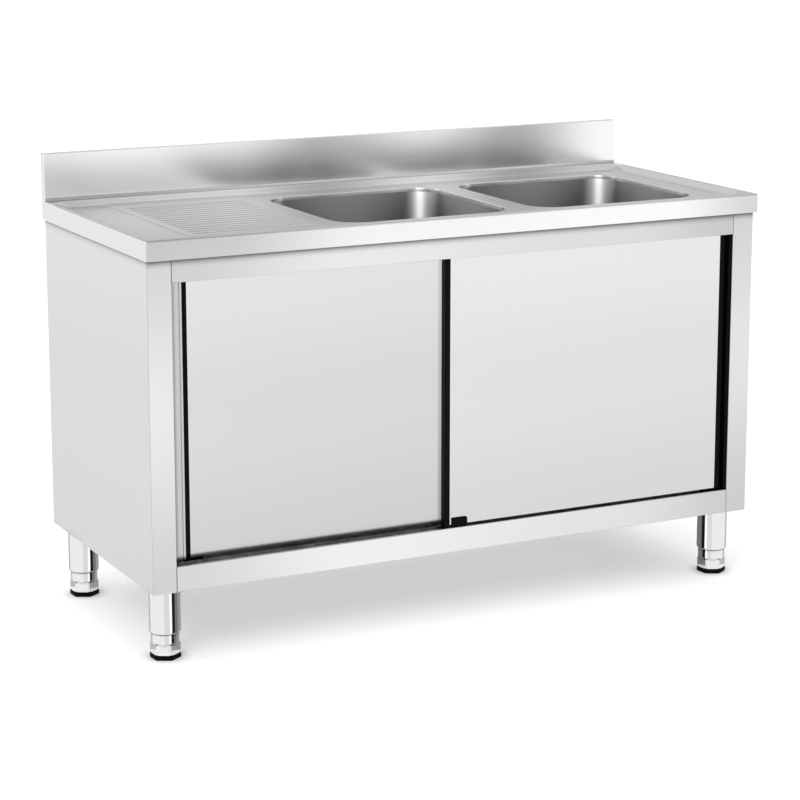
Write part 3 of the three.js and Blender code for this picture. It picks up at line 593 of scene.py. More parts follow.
along_x = lambda a, b: near(a.y, b.y) and near(a.z, b.z)
round_off(worktop, lambda a, b: along_x(a, b) and near(a.y, UPSTAND_Y) and near(a.z, RIM_Z), 5, 4)
round_off(worktop, lambda a, b: along_x(a, b) and near(a.y, FRONT) and near(a.z, RIM_Z), 4, 4)
round_off(worktop, lambda a, b: along_x(a, b) and near(a.z, UPSTAND_TOP), 1.5, 4)
round_off(worktop, lambda a, b: near(abs(a.x), HALF_WIDTH) and near(a.x, b.x)
          and not (near(a.z, SKIRT_Z) and near(b.z, SKIRT_Z))
          and not (near(a.y, BACK) and near(b.y, BACK)), 2, 4)
print("worktop body", len(worktop.data.polygons), "faces")

# %% [markdown]
# The sunk deck is a shallow tray with sloping sides. Its punch is a rounded block whose underside
# is inset and pushed down, which gives the slope and keeps the corners concentric.

# %% Sunk deck
PUNCH_LOW, PUNCH_HIGH = (-690, -278, RIM_Z), (690, 270, RIM_Z + 6)
SLOPE = 22  # mm that the tray's side takes to reach the deck
upright = lambda a, b: near(a.x, b.x) and near(a.y, b.y)
facing_down = lambda centre, normal: normal.z < -0.9
facing_up = lambda centre, normal: normal.z > 0.9

punch = block("deck_punch", PUNCH_LOW, PUNCH_HIGH)
round_off(punch, upright, 41, 10)
choose(punch, "FACE", facing_down)
bpy.ops.mesh.inset(thickness=SLOPE * MM, depth=(RIM_Z - DECK_Z) * MM)
round_off(punch, at("z", DECK_Z), 5, 3)
carve(worktop, punch)
print("sunk deck", len(worktop.data.polygons), "faces")

# %% [markdown]
# The drainer is pressed upwards: a low field with rounded corners and fifteen ribs on it. One rib
# is shaped with three insets, each flatter than the last, so that it is arched, and then repeated.
# Only the flat top is picked for each inset, because the bands round it are nearly level too.

# %% Drainer field and ribs
RIBS, RIB_PITCH = 15, 26
RIB_STEPS = ((1.6, 0.6), (1.6, 0.4), (1.2, 0.12))  # inset and rise of each

field = block("drainer_field", (-586, -236, 838), (-288, 243, DECK_Z))
round_off(field, upright, 14, 6)
choose(field, "FACE", facing_up)
bpy.ops.mesh.inset(thickness=3 * MM, depth=1.5 * MM)
carve(worktop, field, "UNION")

rib = block("drainer_rib", (-566, -211.5, 839.5), (-302, -198.5, 842.6))
round_off(rib, upright, 4.6, 5)
for width, height in RIB_STEPS:
    choose(rib, "FACE", lambda centre, normal: normal.z > 0.999)
    bpy.ops.mesh.inset(thickness=width * MM, depth=height * MM)
apply(rib, "ARRAY", count=RIBS, use_relative_offset=False, use_constant_offset=True,
      constant_offset_displace=(0, RIB_PITCH * MM, 0))
carve(worktop, rib, "UNION")
print("drainer", len(worktop.data.polygons), "faces")

# %% [markdown]
# Each bowl's mouth is a rounded square. The sheet rolls over its edge, so the mouth gets a lip of
# 5 mm radius that runs down into the bowl's wall.

# %% Mouths of the bowls
BOWL_X = {"left": -51, "right": 405}
BOWL_Y = -22
MOUTH_HALF, WALL_HALF, WELD_Z = 200.5, 199.73, 833
MOUTH_CORNER, ROLL = 62.5, 5  # radii of the mouth's corners and of its rolled lip


def scale_ring(piece, level, factor, centre):
    choose(piece, "VERT", at("z", level))
    bpy.ops.transform.resize(value=(factor, factor, 1), center_override=Vector(centre) * MM)
    done()


for x in BOWL_X.values():
    plug = block("mouth_plug", (x - MOUTH_HALF, BOWL_Y - MOUTH_HALF, WELD_Z),
                 (x + MOUTH_HALF, BOWL_Y + MOUTH_HALF, RIM_Z + 6))
    round_off(plug, upright, MOUTH_CORNER, 12)
    scale_ring(plug, WELD_Z, WALL_HALF / MOUTH_HALF, (x, BOWL_Y, WELD_Z))
    carve(worktop, plug)


def at_mouth(v):
    return near(v.z, DECK_Z) and abs(v.y - BOWL_Y) < 201 and (
        abs(v.x - BOWL_X["left"]) < 201 or abs(v.x - BOWL_X["right"]) < 201)


def on_rim(v):
    return near(v.z, RIM_Z) and abs(v.x) < 691 and -279 < v.y < 271


round_off(worktop, lambda a, b: at_mouth(a) and at_mouth(b) and abs(a.x - b.x) < 300
          and abs(a.y - b.y) < 300, ROLL, 4)
round_off(worktop, lambda a, b: on_rim(a) and on_rim(b), 3, 3)
print("mouths cut,", len(worktop.data.polygons), "faces")

# %% [markdown]
# The body is still a solid block. Its underside and the floors of the two mouths come off, and
# what is left gets the sheet's thickness on its inner side.

# %% Hollow the worktop
drop_faces(worktop, lambda centre, normal: (normal.z < -0.9 and near(centre.z, SKIRT_Z))
           or (normal.z > 0.9 and near(centre.z, WELD_Z)))
thicken(worktop)
dress(worktop, worktop_steel, "cabinet", "worktop", angle=25)
print("worktop sheet", len(worktop.data.polygons), "faces")

# %% [markdown]
# ## Bowls
# A bowl is deep drawn: the walls lean in a little, the corners are wide and the floor turns up in a
# large radius. A block with its lower ring drawn in has all of that after two bevels. The visible
# side is the inside, so the surface is turned round before it gets its thickness.

# %% Bowls
BOWL_FLOOR = 591
FLOOR_HALF = 191.67
WALL_CORNER, FLOOR_BEND = 61.8, 40  # radii
DRAIN_RADIUS = 26


def turned(name, axis, profile, sides=48, bore=False):
    """A round piece on an upright axis, drawn ring by ring through (radius, height) points. It is
    closed at both ends, or with a bore its section closes on itself."""
    calm()
    radius, height = profile[0]
    bpy.ops.mesh.primitive_circle_add(
        vertices=sides, radius=radius * MM, fill_type="NOTHING" if bore else "NGON",
        location=metres(*axis, height))
    piece = settle(name)
    choose(piece, "EDGE" if bore else "FACE", ALL)
    for new_radius, new_height in (*profile[1:], profile[0]) if bore else profile[1:]:
        extrude(metres(0, 0, new_height - height))
        factor = new_radius / radius
        bpy.ops.transform.resize(value=(factor, factor, 1),
                                 center_override=metres(*axis, new_height))
        radius, height = new_radius, new_height
    close_up(weld=bore)
    return piece


x = BOWL_X["left"]
bowl = block("bowl_left_pressing", (x - WALL_HALF, BOWL_Y - WALL_HALF, BOWL_FLOOR),
             (x + WALL_HALF, BOWL_Y + WALL_HALF, WELD_Z))
scale_ring(bowl, BOWL_FLOOR, FLOOR_HALF / WALL_HALF, (x, BOWL_Y, BOWL_FLOOR))
round_off(bowl, lambda a, b: abs(a.z - b.z) > 200, WALL_CORNER, 12)
round_off(bowl, at("z", BOWL_FLOOR), FLOOR_BEND, 8)
carve(bowl, turned("drain_punch", (x, BOWL_Y), ((DRAIN_RADIUS, 580), (DRAIN_RADIUS, 600))))
drop_faces(bowl, lambda centre, normal: near(centre.z, WELD_Z)
           or (math.hypot(centre.x - x, centre.y - BOWL_Y) < DRAIN_RADIUS + 0.5
               and centre.z > BOWL_FLOOR + 0.1))
flip(bowl)
BOWL_PITCH = BOWL_X["right"] - BOWL_X["left"]
bowls = {"left": bowl, "right": copy(bowl, "bowl_right_pressing", (BOWL_PITCH, 0, 0))}
for side, piece in bowls.items():
    thicken(piece)
    dress(piece, bowl_steel, "cabinet", f"bowl_{side}", angle=40)
print("bowls", len(bowl.data.polygons), "faces each")

# %% [markdown]
# ## Folded sheets
# Posts, rails and side panels are strips of sheet with folded edges. Each starts as one flange, and
# every further flange is an edge extruded from the last one. The folds are then rounded and the
# sheet gets its thickness on the inner side, as a press brake would leave it.

# %% Helper for folded sheets


def folded_sheet(name, path, span, axis="Z", bend=1.8):
    """A sheet folded along a path of (x, y) points when it stands on Z, or of (y, z) points when
    it lies along X. The outer face is on the right of the path."""
    upright_sheet = axis == "Z"
    put = lambda p, s: Vector((*p, s) if upright_sheet else (s, *p))
    on = lambda v, corner: near((v - put(corner, v.z if upright_sheet else v.x)).length, 0)
    sheet = lone_edge(name, put(path[0], span[0]), put(path[0], span[1]))
    for corner, following in zip(path, path[1:]):
        extrude((put(following, 0) - put(corner, 0)) * MM)
    close_up()
    run, reach = (put(path[1], 0) - put(path[0], 0)), put(path[0], 1) - put(path[0], 0)
    middle = put(path[0], sum(span) / 2) + run / 2
    first = min(sheet.data.polygons, key=lambda p: (p.center / MM - middle).length)
    if first.normal.dot(run.cross(reach)) < 0:
        flip(sheet)
    round_off(sheet, lambda a, b: any(on(a, c) and on(b, c) for c in path[1:-1]), bend, 3)
    return sheet


mirrored = lambda path: [(-x, y) for x, y in reversed(path)]
print("folding helper ready")

# %% [markdown]
# ## Side panels and front posts
# A side panel wraps round the back and front edges of the cabinet and turns in under its foot. Each
# front post is a narrow face that folds back beside the doors and then behind them. Below the door
# track only the face goes on down, so the folded part is cut away there.

# %% Side panels
CABINET_BOTTOM, CABINET_TOP = 148, 838.5
PANEL_PATH = [(-670, 298), (-695, 298), (-695, -288.6), (-665, -288.6)]
FOOT_FLANGE = 10

for side, path, inward in (("left", PANEL_PATH, 1), ("right", mirrored(PANEL_PATH), -1)):
    panel = folded_sheet(f"side_panel_{side}_sheet", path, (CABINET_BOTTOM, CABINET_TOP))
    foot_edge = lambda a, b: at("z", CABINET_BOTTOM)(a, b) and abs(a.y - b.y) > 100
    choose(panel, "EDGE", foot_edge)
    extrude(metres(inward * FOOT_FLANGE, 0, 0))
    round_off(panel, lambda a, b: foot_edge(a, b) and at("x", -inward * 695)(a, b), 1.5, 3)
    thicken(panel)
    dress(panel, side_steel, "cabinet", f"side_panel_{side}")
print("side panels", DRESSED[-2:])

# %% Front posts
POST_PATH = [(-695, -290), (-645, -290), (-645, -230), (-600, -230)]
JAMB_BOTTOM = 202
COVER_Y = -258.5  # a hemmed strip between the two door planes covers the rear door's edge
COVER_X, COVER_TOP = 613.5, 770
COVER_HEMS = ((31.5, 0), (4, 0.6))  # the strip's width and the hem's, and how far each stands out

for side, path, sign in (("left", POST_PATH, -1), ("right", mirrored(POST_PATH), 1)):
    post = folded_sheet(f"front_post_{side}_sheet", path, (CABINET_BOTTOM, CABINET_TOP))
    thicken(post)
    inner = sorted((sign * 590, sign * 646.5))
    carve(post, block("notch", (inner[0], -288.2, 140), (inner[1], -220, JAMB_BOTTOM)))
    for reach, out in COVER_HEMS:
        strip = sorted((sign * COVER_X, sign * (COVER_X + reach + 0.5)))
        carve(post, block("cover", (strip[0], COVER_Y - out, JAMB_BOTTOM),
                          (strip[1], COVER_Y + 1, COVER_TOP)), "UNION")
    dress(post, post_steel, "cabinet", f"front_post_{side}")
print("front posts", DRESSED[-2:])

# %% [markdown]
# ## Rails
# The top rail hides the door rollers and the bottom rail hides the shelf's edge. Both are long
# folded sheets between the posts.

# %% Rails
RAIL_HALF = 644.7
RAILS = {
    "top_rail": [(-262, 838.5), (-290, 838.5), (-290, 764), (-285, 764)],
    "bottom_rail": [(-285, 200), (-290, 200), (-290, 148), (-270, 148)],
}
for name, path in RAILS.items():
    rail = folded_sheet(f"{name}_sheet", path, (-RAIL_HALF, RAIL_HALF), "X")
    thicken(rail)
    dress(rail, rail_steel, "cabinet", name)
print("rails", DRESSED[-2:])

# %% [markdown]
# ## Back panel and shelf
# The back is a flat sheet with a hole for the waste pipe. The shelf is a shallow tray with its
# edges turned down.

# %% Back panel
back = block("back_panel_sheet", (-693.4, 295.4, 150), (693.4, 296.4, CABINET_TOP))
calm()
bpy.ops.mesh.primitive_cylinder_add(vertices=48, radius=25 * MM, depth=0.02,
                                    location=(0.405, 0.296, 0.37), rotation=(math.pi / 2, 0, 0))
carve(back, settle("pipe_hole"))
round_off(back, lambda a, b: near(a.x, b.x) and near(abs(a.x), 693.4)
          and abs(a.z - b.z) > 100, 0.3, 2)
dress(back, inner_steel, "cabinet", "back_panel")
print("back panel", len(back.data.polygons), "faces")

# %% Bottom shelf
shelf = block("bottom_shelf_tray", (-692, -287, 150), (692, 295, 186))
drop_faces(shelf, facing_down)
round_off(shelf, lambda *ends: not at("z", 150)(*ends), 2, 3)
thicken(shelf)
dress(shelf, inner_steel, "cabinet", "bottom_shelf")
print("shelf", len(shelf.data.polygons), "faces")

# %% [markdown]
# ## Legs and screw feet
# A leg is a polished tube with a rolled-in lower end. The foot that screws into it has a round
# collar, a groove and a hexagon for a spanner, and stands on a black rubber pad.

# %% Legs
LEG_X, LEG_Y = 650, {"front": -232, "back": 238}
SPOT = (-LEG_X, LEG_Y["front"])
LEG_TOP = 184.7

leg = turned("leg_front_left_tube", SPOT, (
    (6.6, 54), (29, 54), (31.2, 54.6), (32.5, 56), (33, 58.5), (33, 182)), 64)
plate = block("leg_plate", (SPOT[0] - 38, SPOT[1] - 46, LEG_TOP - 3),
              (SPOT[0] + 38, SPOT[1] + 46, LEG_TOP))
round_off(plate, upright, 6, 4)
round_off(plate, lambda a, b: near(a.z, b.z), 0.6, 2)
carve(leg, plate, "UNION")
print("leg", len(leg.data.polygons), "faces")

# %% Screw feet
FOOT_TURN = math.radians(-28)

foot = turned("foot_front_left_screw", SPOT, (
    (24, 30), (28.3, 30.5), (28.3, 33.2), (29.3, 34), (29.5, 34.6), (29.5, 51.8), (29.2, 52.9),
    (28.2, 53.6), (6, 53.7), (6, 109), (5, 110)), 64)


def hexagon(name, radius, low, high):
    calm()
    bpy.ops.mesh.primitive_cylinder_add(
        vertices=6, radius=radius * MM, depth=(high - low) * MM,
        rotation=(0, 0, FOOT_TURN + math.pi / 6), location=Vector((*SPOT, (low + high) / 2)) * MM)
    piece = settle(name)
    round_off(piece, upright, 1.2, 3)
    return piece


nut = hexagon("foot_nut", 31, 10.3, 32)
carve(nut, turned("nut_chamfer", SPOT, ((28.2, 10.2), (31.4, 12.2), (31.4, 30), (27.6, 32.1)), 64),
      "INTERSECT")
carve(foot, nut, "UNION")
print("foot", len(foot.data.polygons), "faces")

# %% Rubber pads
pad = hexagon("pad_front_left_rubber", 31.6, 0, 10)
round_off(pad, at("z", 10), 1.4, 3)
round_off(pad, at("z", 0), 0.8, 2)
print("pad", len(pad.data.polygons), "faces")

# %% Copy them to the other corners
for depth, y in LEG_Y.items():
    for side, x in (("left", -LEG_X), ("right", LEG_X)):
        corner = f"{depth}_{side}"
        shift = (x - SPOT[0], y - SPOT[1], 0)
        trio = [leg, foot, pad]
        if corner != "front_left":
            trio = [copy(piece, piece.name.replace("front_left", corner), shift) for piece in trio]
        dress(trio[0], polished_steel, "cabinet", f"leg_{corner}")
        dress(trio[1], polished_steel, f"screw_foot_{corner}", f"foot_{corner}", angle=25)
        dress(trio[2], black_rubber, f"screw_foot_{corner}", f"foot_pad_{corner}")
print("legs and feet", len(LEG_Y) * 2)

# %% [markdown]
# ## Doors
# A door is a shallow steel tray with a black plastic profile pushed over each upright edge and two
# black shoes that run in the lower track. The two doors are the same, so the left one is modelled
# and copied, a track's pitch further forward.

# %% Door skins
DOOR_X, DOOR_Y, DOOR_LOW, DOOR_HIGH = -614, -254, 203.5, 770
DOOR_WIDTH, DOOR_THICK, EDGE = 680, 17, 12
SKIN_BACK = DOOR_Y + 15.7
TO_RIGHT_DOOR = (566, -27, 0)

skin = block("door_left_skin_sheet", (DOOR_X + EDGE + 0.3, DOOR_Y, DOOR_LOW),
             (DOOR_X + DOOR_WIDTH - EDGE - 0.3, SKIN_BACK, DOOR_HIGH))
drop_faces(skin, lambda centre, normal: normal.y > 0.9)
round_off(skin, lambda *ends: not at("y", SKIN_BACK)(*ends), 1.4, 3)
skins = {"left": skin, "right": copy(skin, "door_right_skin_sheet", TO_RIGHT_DOOR)}
for side, piece in skins.items():
    thicken(piece)
    dress(piece, door_steel[side], f"door_{side}", f"door_{side}_skin")
print("door skins", DRESSED[-2:])

# %% [markdown]
# The profile shows three things: a rounded front corner, a fine groove down its face, and a ribbed
# side that catches one line of light.

# %% Door edge profiles


def strip_groove(piece, wall, low, high, depth, level):
    """Pushes a groove between two lines into the wall that faces a direction. wall is (axis,
    sign) of its normal and low, high are the groove's edges on the other level axis."""
    axis, sign = wall
    other = 1 - axis
    only = lambda index, value: [value if i == index else 0 for i in range(3)]
    test = lambda centre, normal: normal[axis] * sign > 0.9 and near(centre[axis], level)
    for line in (low, high):
        choose(piece, "FACE", test)
        bpy.ops.mesh.bisect(plane_co=only(other, line * MM), plane_no=only(other, 1))
    choose(piece, "FACE", lambda centre, normal: test(centre, normal)
           and low < centre[other] < high)
    extrude(only(axis, -sign * depth * MM))
    done()


def door_edge(name, outer, inner):
    """outer is the x of the free side and inner the x against the skin."""
    sign = 1 if outer > inner else -1
    low, high = min(outer, inner), max(outer, inner)
    strip = block(name, (low, DOOR_Y, DOOR_LOW), (high, DOOR_Y + DOOR_THICK, DOOR_HIGH))
    round_off(strip, lambda a, b: upright(a, b) and near(a.x, outer), 2, 4)
    mid = (outer + inner) / 2
    strip_groove(strip, (1, -1), mid - 0.8, mid + 0.8, 0.8, DOOR_Y)
    for start, end in ((4.5, 6.3), (10.2, 12)):
        strip_groove(strip, (0, sign), DOOR_Y + start, DOOR_Y + end, 1.2, outer)
    round_off(strip, lambda a, b: upright(a, b) and near(a.x, outer)
              and DOOR_Y + 4 < a.y < DOOR_Y + 13, 0.5, 2)
    return strip


ENDS = {"left": (DOOR_X, DOOR_X + EDGE), "right": (DOOR_X + DOOR_WIDTH, DOOR_X + DOOR_WIDTH - EDGE)}
edges = {end: door_edge(f"door_left_edge_{end}_profile", *reach) for end, reach in ENDS.items()}
for end, piece in edges.items():
    twin = copy(piece, f"door_right_edge_{end}_profile", TO_RIGHT_DOOR)
    dress(piece, black_profile, "door_left", f"door_left_edge_{end}")
    dress(twin, black_profile, "door_right", f"door_right_edge_{end}")
print("door edges", DRESSED[-4:])

# %% [markdown]
# A guide shoe clips on under each lower corner: a plate under the edge and a tongue in the track.
# The one at the front door's meeting edge is larger. It reaches past the edge and has a lug on the
# door's face with one rounded corner.

# %% Guide shoes
SHOE_LONG = 40
SHOE_LOW = DOOR_LOW - 2.5
TONGUE_LOW = 190
LUG_OUT, LUG_HIGH = 3.6, 16.5  # how far the lug stands off the door's face, and its top


def guide_shoe(name, low, high, door_y, front=1):
    shoe = block(name, (low, door_y + front, SHOE_LOW), (high, door_y + 16, DOOR_LOW - 0.3))
    round_off(shoe, upright, 0.8, 2)
    carve(shoe, block("tongue", (low, door_y + 5, TONGUE_LOW),
                      (high, door_y + 12, SHOE_LOW + 0.5)), "UNION")
    return shoe


for side, shift in (("left", (0, 0, 0)), ("right", TO_RIGHT_DOOR)):
    x, y = DOOR_X + shift[0], DOOR_Y + shift[1]
    last = x + DOOR_WIDTH - 1
    right_shoe = guide_shoe(f"door_{side}_shoe_right_guide", last - SHOE_LONG, last, y)
    dress(right_shoe, black_profile, f"door_{side}", f"door_{side}_shoe_right")
    if side == "left":
        left_shoe = guide_shoe("door_left_shoe_left_guide", x + 1, x + 1 + SHOE_LONG, y)
    else:
        start, end, top = x + EDGE + 3, x + EDGE + SHOE_LONG, DOOR_LOW + LUG_HIGH
        left_shoe = guide_shoe("door_right_shoe_left_guide", x - 10, end, y, 0.2 - LUG_OUT)
        lug = block("lug", (start, y - LUG_OUT, SHOE_LOW), (end, y - 0.3, top))
        round_off(lug, lambda *ends: at("x", end)(*ends) and at("z", top)(*ends), 5, 5)
        round_off(lug, at("y", y - LUG_OUT), 0.7, 2)
        carve(left_shoe, lug, "UNION")
    dress(left_shoe, black_profile, f"door_{side}", f"door_{side}_shoe_left")
print("shoes", DRESSED[-4:])

# %% [markdown]
# ## Bumpers on the posts
# A soft black strip on each post takes the door's edge. It is grooved down its length.

# %% Bumpers
BUMPERS = {"left": (-644.7, -637, -256), "right": (644.7, 637, -289)}  # wall, free side, front
for side, (wall, free, y) in BUMPERS.items():
    low, high = sorted((wall, free))
    inward = 1 if free > wall else -1
    strip = block(f"post_bumper_{side}_strip", (low, y, DOOR_LOW), (high, y + 22, 763))
    round_off(strip, lambda a, b: upright(a, b) and near(a.x, free), 2, 3)
    strip_groove(strip, (1, -1), *sorted((wall + inward * 2, wall + inward * 3.6)), 1.2, y)
    dress(strip, black_profile, "cabinet", f"post_bumper_{side}")
print("bumpers", DRESSED[-2:])

# %% [markdown]
# ## Wastes and drain
# Under each bowl a steel strainer is clamped through a rubber ring to a white waste body. A branch
# pipe carries the left bowl's water to a tee over the bottle trap, and one pipe leaves at the back.
# All of it is round, so it is drawn in rings, and the pipe's elbow is a spin.

# %% Strainers
PLATE_Z = BOWL_FLOOR - 6
DRAIN = (BOWL_X["left"], BOWL_Y)
strainer = turned("waste_strainer_left_dish", DRAIN, (
    (21, PLATE_Z - 1.5), (21, 561.2), (21.4, 561), (22.8, 561), (23, 561.3), (23, 591.3),
    (35.6, 591.3), (36, 591.6), (35.6, 592.4), (34, 592.8), (26, 592.2), (23.4, 591.2),
    (22, 589.6), (21, 586.4), (20, PLATE_Z), (6, PLATE_Z), (5.6, 586.6), (4.4, 587)), 64)
calm()
bpy.ops.mesh.primitive_cylinder_add(vertices=20, radius=3.4 * MM, depth=0.012,
                                    location=Vector((DRAIN[0] + 13, DRAIN[1], PLATE_Z)) * MM)
hole = settle("strainer_hole")
for step in range(6):
    drill = copy(hole, "drill", (0, 0, 0))
    turn(drill, step * math.pi / 3, "Z", DRAIN)
    carve(strainer, drill)
bpy.data.objects.remove(hole)
print("strainer", len(strainer.data.polygons), "faces")

# %% Seals and waste bodies
seal = turned("waste_seal_left_ring", DRAIN, (
    (26, 586.9), (35.4, 586.7), (36, 587.3), (36, 589.1), (35.4, 589.7), (26, 589.5)), bore=True)
waste = turned("waste_body_left_cup", DRAIN, (
    (20.4, 505.3), (20.8, 505), (22.6, 505), (23, 505.4), (23, 546.4), (24, 548.4), (28.2, 553.6),
    (29, 555.4), (29, 576.4), (30, 578.6), (36.4, 581), (37, 581.6), (37, 585.8), (36.4, 586.4),
    (24.6, 586.4), (24, 585.8), (24, 556.4), (20.4, 550.4)), bore=True)
SET = {"strainer": strainer, "seal": seal, "body": waste}
DRAIN_FINISH = {"strainer": polished_steel, "seal": black_rubber, "body": white_plastic}
for part, piece in SET.items():
    twin = copy(piece, piece.name.replace("left", "right"), (BOWL_PITCH, 0, 0))
    dress(piece, DRAIN_FINISH[part], "cabinet", f"waste_{part}_left")
    dress(twin, DRAIN_FINISH[part], "cabinet", f"waste_{part}_right")
print("wastes", DRESSED[-6:])

# %% [markdown]
# The branch pipe goes down out of the waste body, turns once and runs across. A ring is extruded
# down, spun through a quarter turn and extruded again, and the wall is added at the end. The
# pipe's lowest point is printed, because a spin the other way would take it up.

# %% Branch pipe
PIPE_RADIUS, PIPE_WALL, BRANCH_Z, ELBOW = 20, 2.4, 470, 34
BRANCH_TOP, BRANCH_END = 521, 373

calm()
bpy.ops.mesh.primitive_circle_add(vertices=40, radius=PIPE_RADIUS * MM,
                                  location=Vector((*DRAIN, BRANCH_TOP)) * MM)
branch = settle("drain_branch_pipe")
choose(branch, "EDGE", ALL)
extrude(metres(0, 0, BRANCH_Z + ELBOW - BRANCH_TOP))
bpy.ops.mesh.spin(steps=12, angle=math.pi / 2, axis=(0, 1, 0),
                  center=Vector((DRAIN[0] + ELBOW, DRAIN[1], BRANCH_Z + ELBOW)) * MM)
extrude(metres(BRANCH_END - DRAIN[0] - ELBOW, 0, 0))
close_up(weld=True)
low = min(v.co.z for v in branch.data.vertices) / MM
print("branch pipe's lowest point", round(low, 1), "mm, wanted", BRANCH_Z - PIPE_RADIUS)
thicken(branch, PIPE_WALL)
dress(branch, white_plastic, "cabinet", "drain_branch", angle=40)

# %% [markdown]
# Tee, trap and outlet are joined from turned pieces: the cup with its nut and ribs, and a socket
# on its side. They are cut hollow only where an open end shows.

# %% Tee and trap
TEE = (BOWL_X["right"], BOWL_Y)
OUTLET_Z = 370
# With no window, rotate turns the other way, so the signs are the reverse of the usual ones.
LAY = {"X": (-math.pi / 2, "Y"), "Y": (math.pi / 2, "X")}


def lying(name, profile, start, direction, sides=48):
    """A turned piece laid along X or Y: profile points are (radius, distance from start)."""
    piece = turned(name, (0, 0), profile, sides)
    turn(piece, *LAY[direction])
    shift_into_place(piece, start)
    return piece


tee = turned("drain_tee_fitting", TEE, ((20, 345), (20, 440), (23.4, 443), (24, 446), (24, 494),
                                        (23.4, 497), (20, 500), (20, 521)))
carve(tee, lying("tee_socket", ((22.6, 0), (23, 0.5), (23, 12), (22, 14), (22, 62)),
                 (TEE[0] - 62, TEE[1], BRANCH_Z), "X"), "UNION")
carve(tee, turned("tee_bore", TEE, ((17.6, 340), (17.6, 525))))
carve(tee, lying("tee_mouth", ((20.4, 0), (20.4, 36)), (TEE[0] - 64, TEE[1], BRANCH_Z), "X"))
dress(tee, white_plastic, "cabinet", "drain_tee", angle=40)

trap = turned("trap_bottle_cup", TEE, (
    (30, 312), (34, 313), (37, 316.5), (38, 320), (38, 352), (36.8, 353), (36.8, 354.5),
    (38, 355.5), (38, 406), (36, 410.5), (27, 417.4), (25.4, 419), (25, 421), (25, 431),
    (24.4, 432)), 64)
carve(trap, lying("trap_socket", ((23, 0), (23, 47.4), (22.6, 48)),
                  (TEE[0], TEE[1] + 20, OUTLET_Z), "Y"), "UNION")
carve(trap, turned("trap_mouth", TEE, ((35, 322), (35, 406), (20.4, 415), (20.4, 437))))
carve(trap, lying("trap_outlet", ((20.4, 0), (20.4, 27)), (TEE[0], TEE[1] + 46, OUTLET_Z), "Y"))
dress(trap, white_plastic, "cabinet", "trap_bottle", angle=40)

BORE = PIPE_RADIUS - PIPE_WALL
outlet = lying("outlet_pipe_tube", ((PIPE_RADIUS, 0), (PIPE_RADIUS, 270)),
               (TEE[0], 28, OUTLET_Z), "Y")
carve(outlet, lying("outlet_bore", ((BORE, 0), (BORE, 280)), (TEE[0], 20, OUTLET_Z), "Y"))
dress(outlet, white_plastic, "cabinet", "outlet_pipe", angle=40)
print("tee, trap and outlet", DRESSED[-3:])

# %% [markdown]
# ## Rollers
# Each door hangs on two nylon rollers with a bore for the pin.

# %% Rollers
AXLE_Z, ROLLER_WIDE, ROLLER_APART = 787.3, 7, 520
ROLLER_SECTION = ((3.2, 0), (9.4, 0), (10, 0.6), (10, 6.4), (9.4, ROLLER_WIDE), (3.2, ROLLER_WIDE))
roller = turned("door_left_roller_left_wheel", (0, 0), ROLLER_SECTION, 40, bore=True)
turn(roller, *LAY["Y"])
shift_into_place(roller, (DOOR_X + 80, DOOR_Y + DOOR_THICK / 2 + 0.5, AXLE_Z))
for side, door_shift in (("left", (0, 0, 0)), ("right", TO_RIGHT_DOOR)):
    for end, along in (("left", 0), ("right", ROLLER_APART)):
        piece = roller
        if (side, end) != ("left", "left"):
            shift = (door_shift[0] + along, door_shift[1], 0)
            piece = copy(roller, f"door_{side}_roller_{end}_wheel", shift)
        dress(piece, nylon, f"roller_{side}_{end}", f"door_{side}_roller_{end}")
print("rollers", DRESSED[-4:])

# %% [markdown]
# The black trim stands a few millimetres in front of bright sheet. In the picture the sheet stays
# bright right up to it, so the trim is left out of mirror-like rays.

# %% Trim
for name in DRESSED:
    if "_edge_" in name or "bumper" in name or "_shoe_" in name:
        bpy.data.objects[name].visible_glossy = False
print("trim kept out of reflections")

# %% [markdown]
# ## Light and floor
# The picture was taken in a white studio: a pale floor that runs out into white, and soft light
# from all round. It is weaker high up in front and still more high up behind, where the deck
# mirrors it, and strong again straight overhead. The camera itself sees a white backdrop.

# %% World
world = bpy.data.worlds.new("studio_air")
bpy.context.scene.world = world
world.use_nodes = True
tree = world.node_tree
heading = add(tree, "SeparateXYZ", {0: add(tree, "TexCoord").outputs["Generated"]}).outputs
up = spread(tree, heading["Z"], 0, 1)
front = eased_ramp(tree, up, ((0, "#FFFFFF"), (0.3, "#FFFFFF"), (0.6, "#E0E0E0"), (0.88, "#E4E4E4"),
                            (0.97, "#FFFFFF")))
back = eased_ramp(tree, up, ((0, "#DDDDDD"), (0.3, "#DDDDDD"), (0.42, "#FFFFFF"), (0.76, "#F4F4F4"),
                           (0.87, "#B4B4B4"), (0.93, "#B8B8B8"), (0.97, "#FFFFFF")))
level = blend(tree, spread(tree, heading["Y"], 0, 1, -0.2, 0.5), front, back)
seen = add(tree, "LightPath").outputs["Is Camera Ray"]
background = tree.nodes["Background"]
background.inputs["Color"].default_value = paint("#FFFFFF")
feed(tree, background, Strength=reckon(tree, "MAXIMUM", level, seen))
print("world", world.name)

# %% [markdown]
# The floor is dull paint plus a glow that only the camera and mirror-like rays see. The glow fades
# near the cabinet and round the pads as a painted shadow, so the floor looks white further out, and
# the dull paint keeps the cabinet's real shadow too.

# %% Floor
SHADOW_REACH, CONTACT_REACH = 0.3, 0.03  # m
SHADOW_GLOW = 0.32  # the share of glow left in the deepest shadow
OPEN_GLOW, FLOOR_PAINT = 0.86, (0.34, 0.34, 0.34, 1)

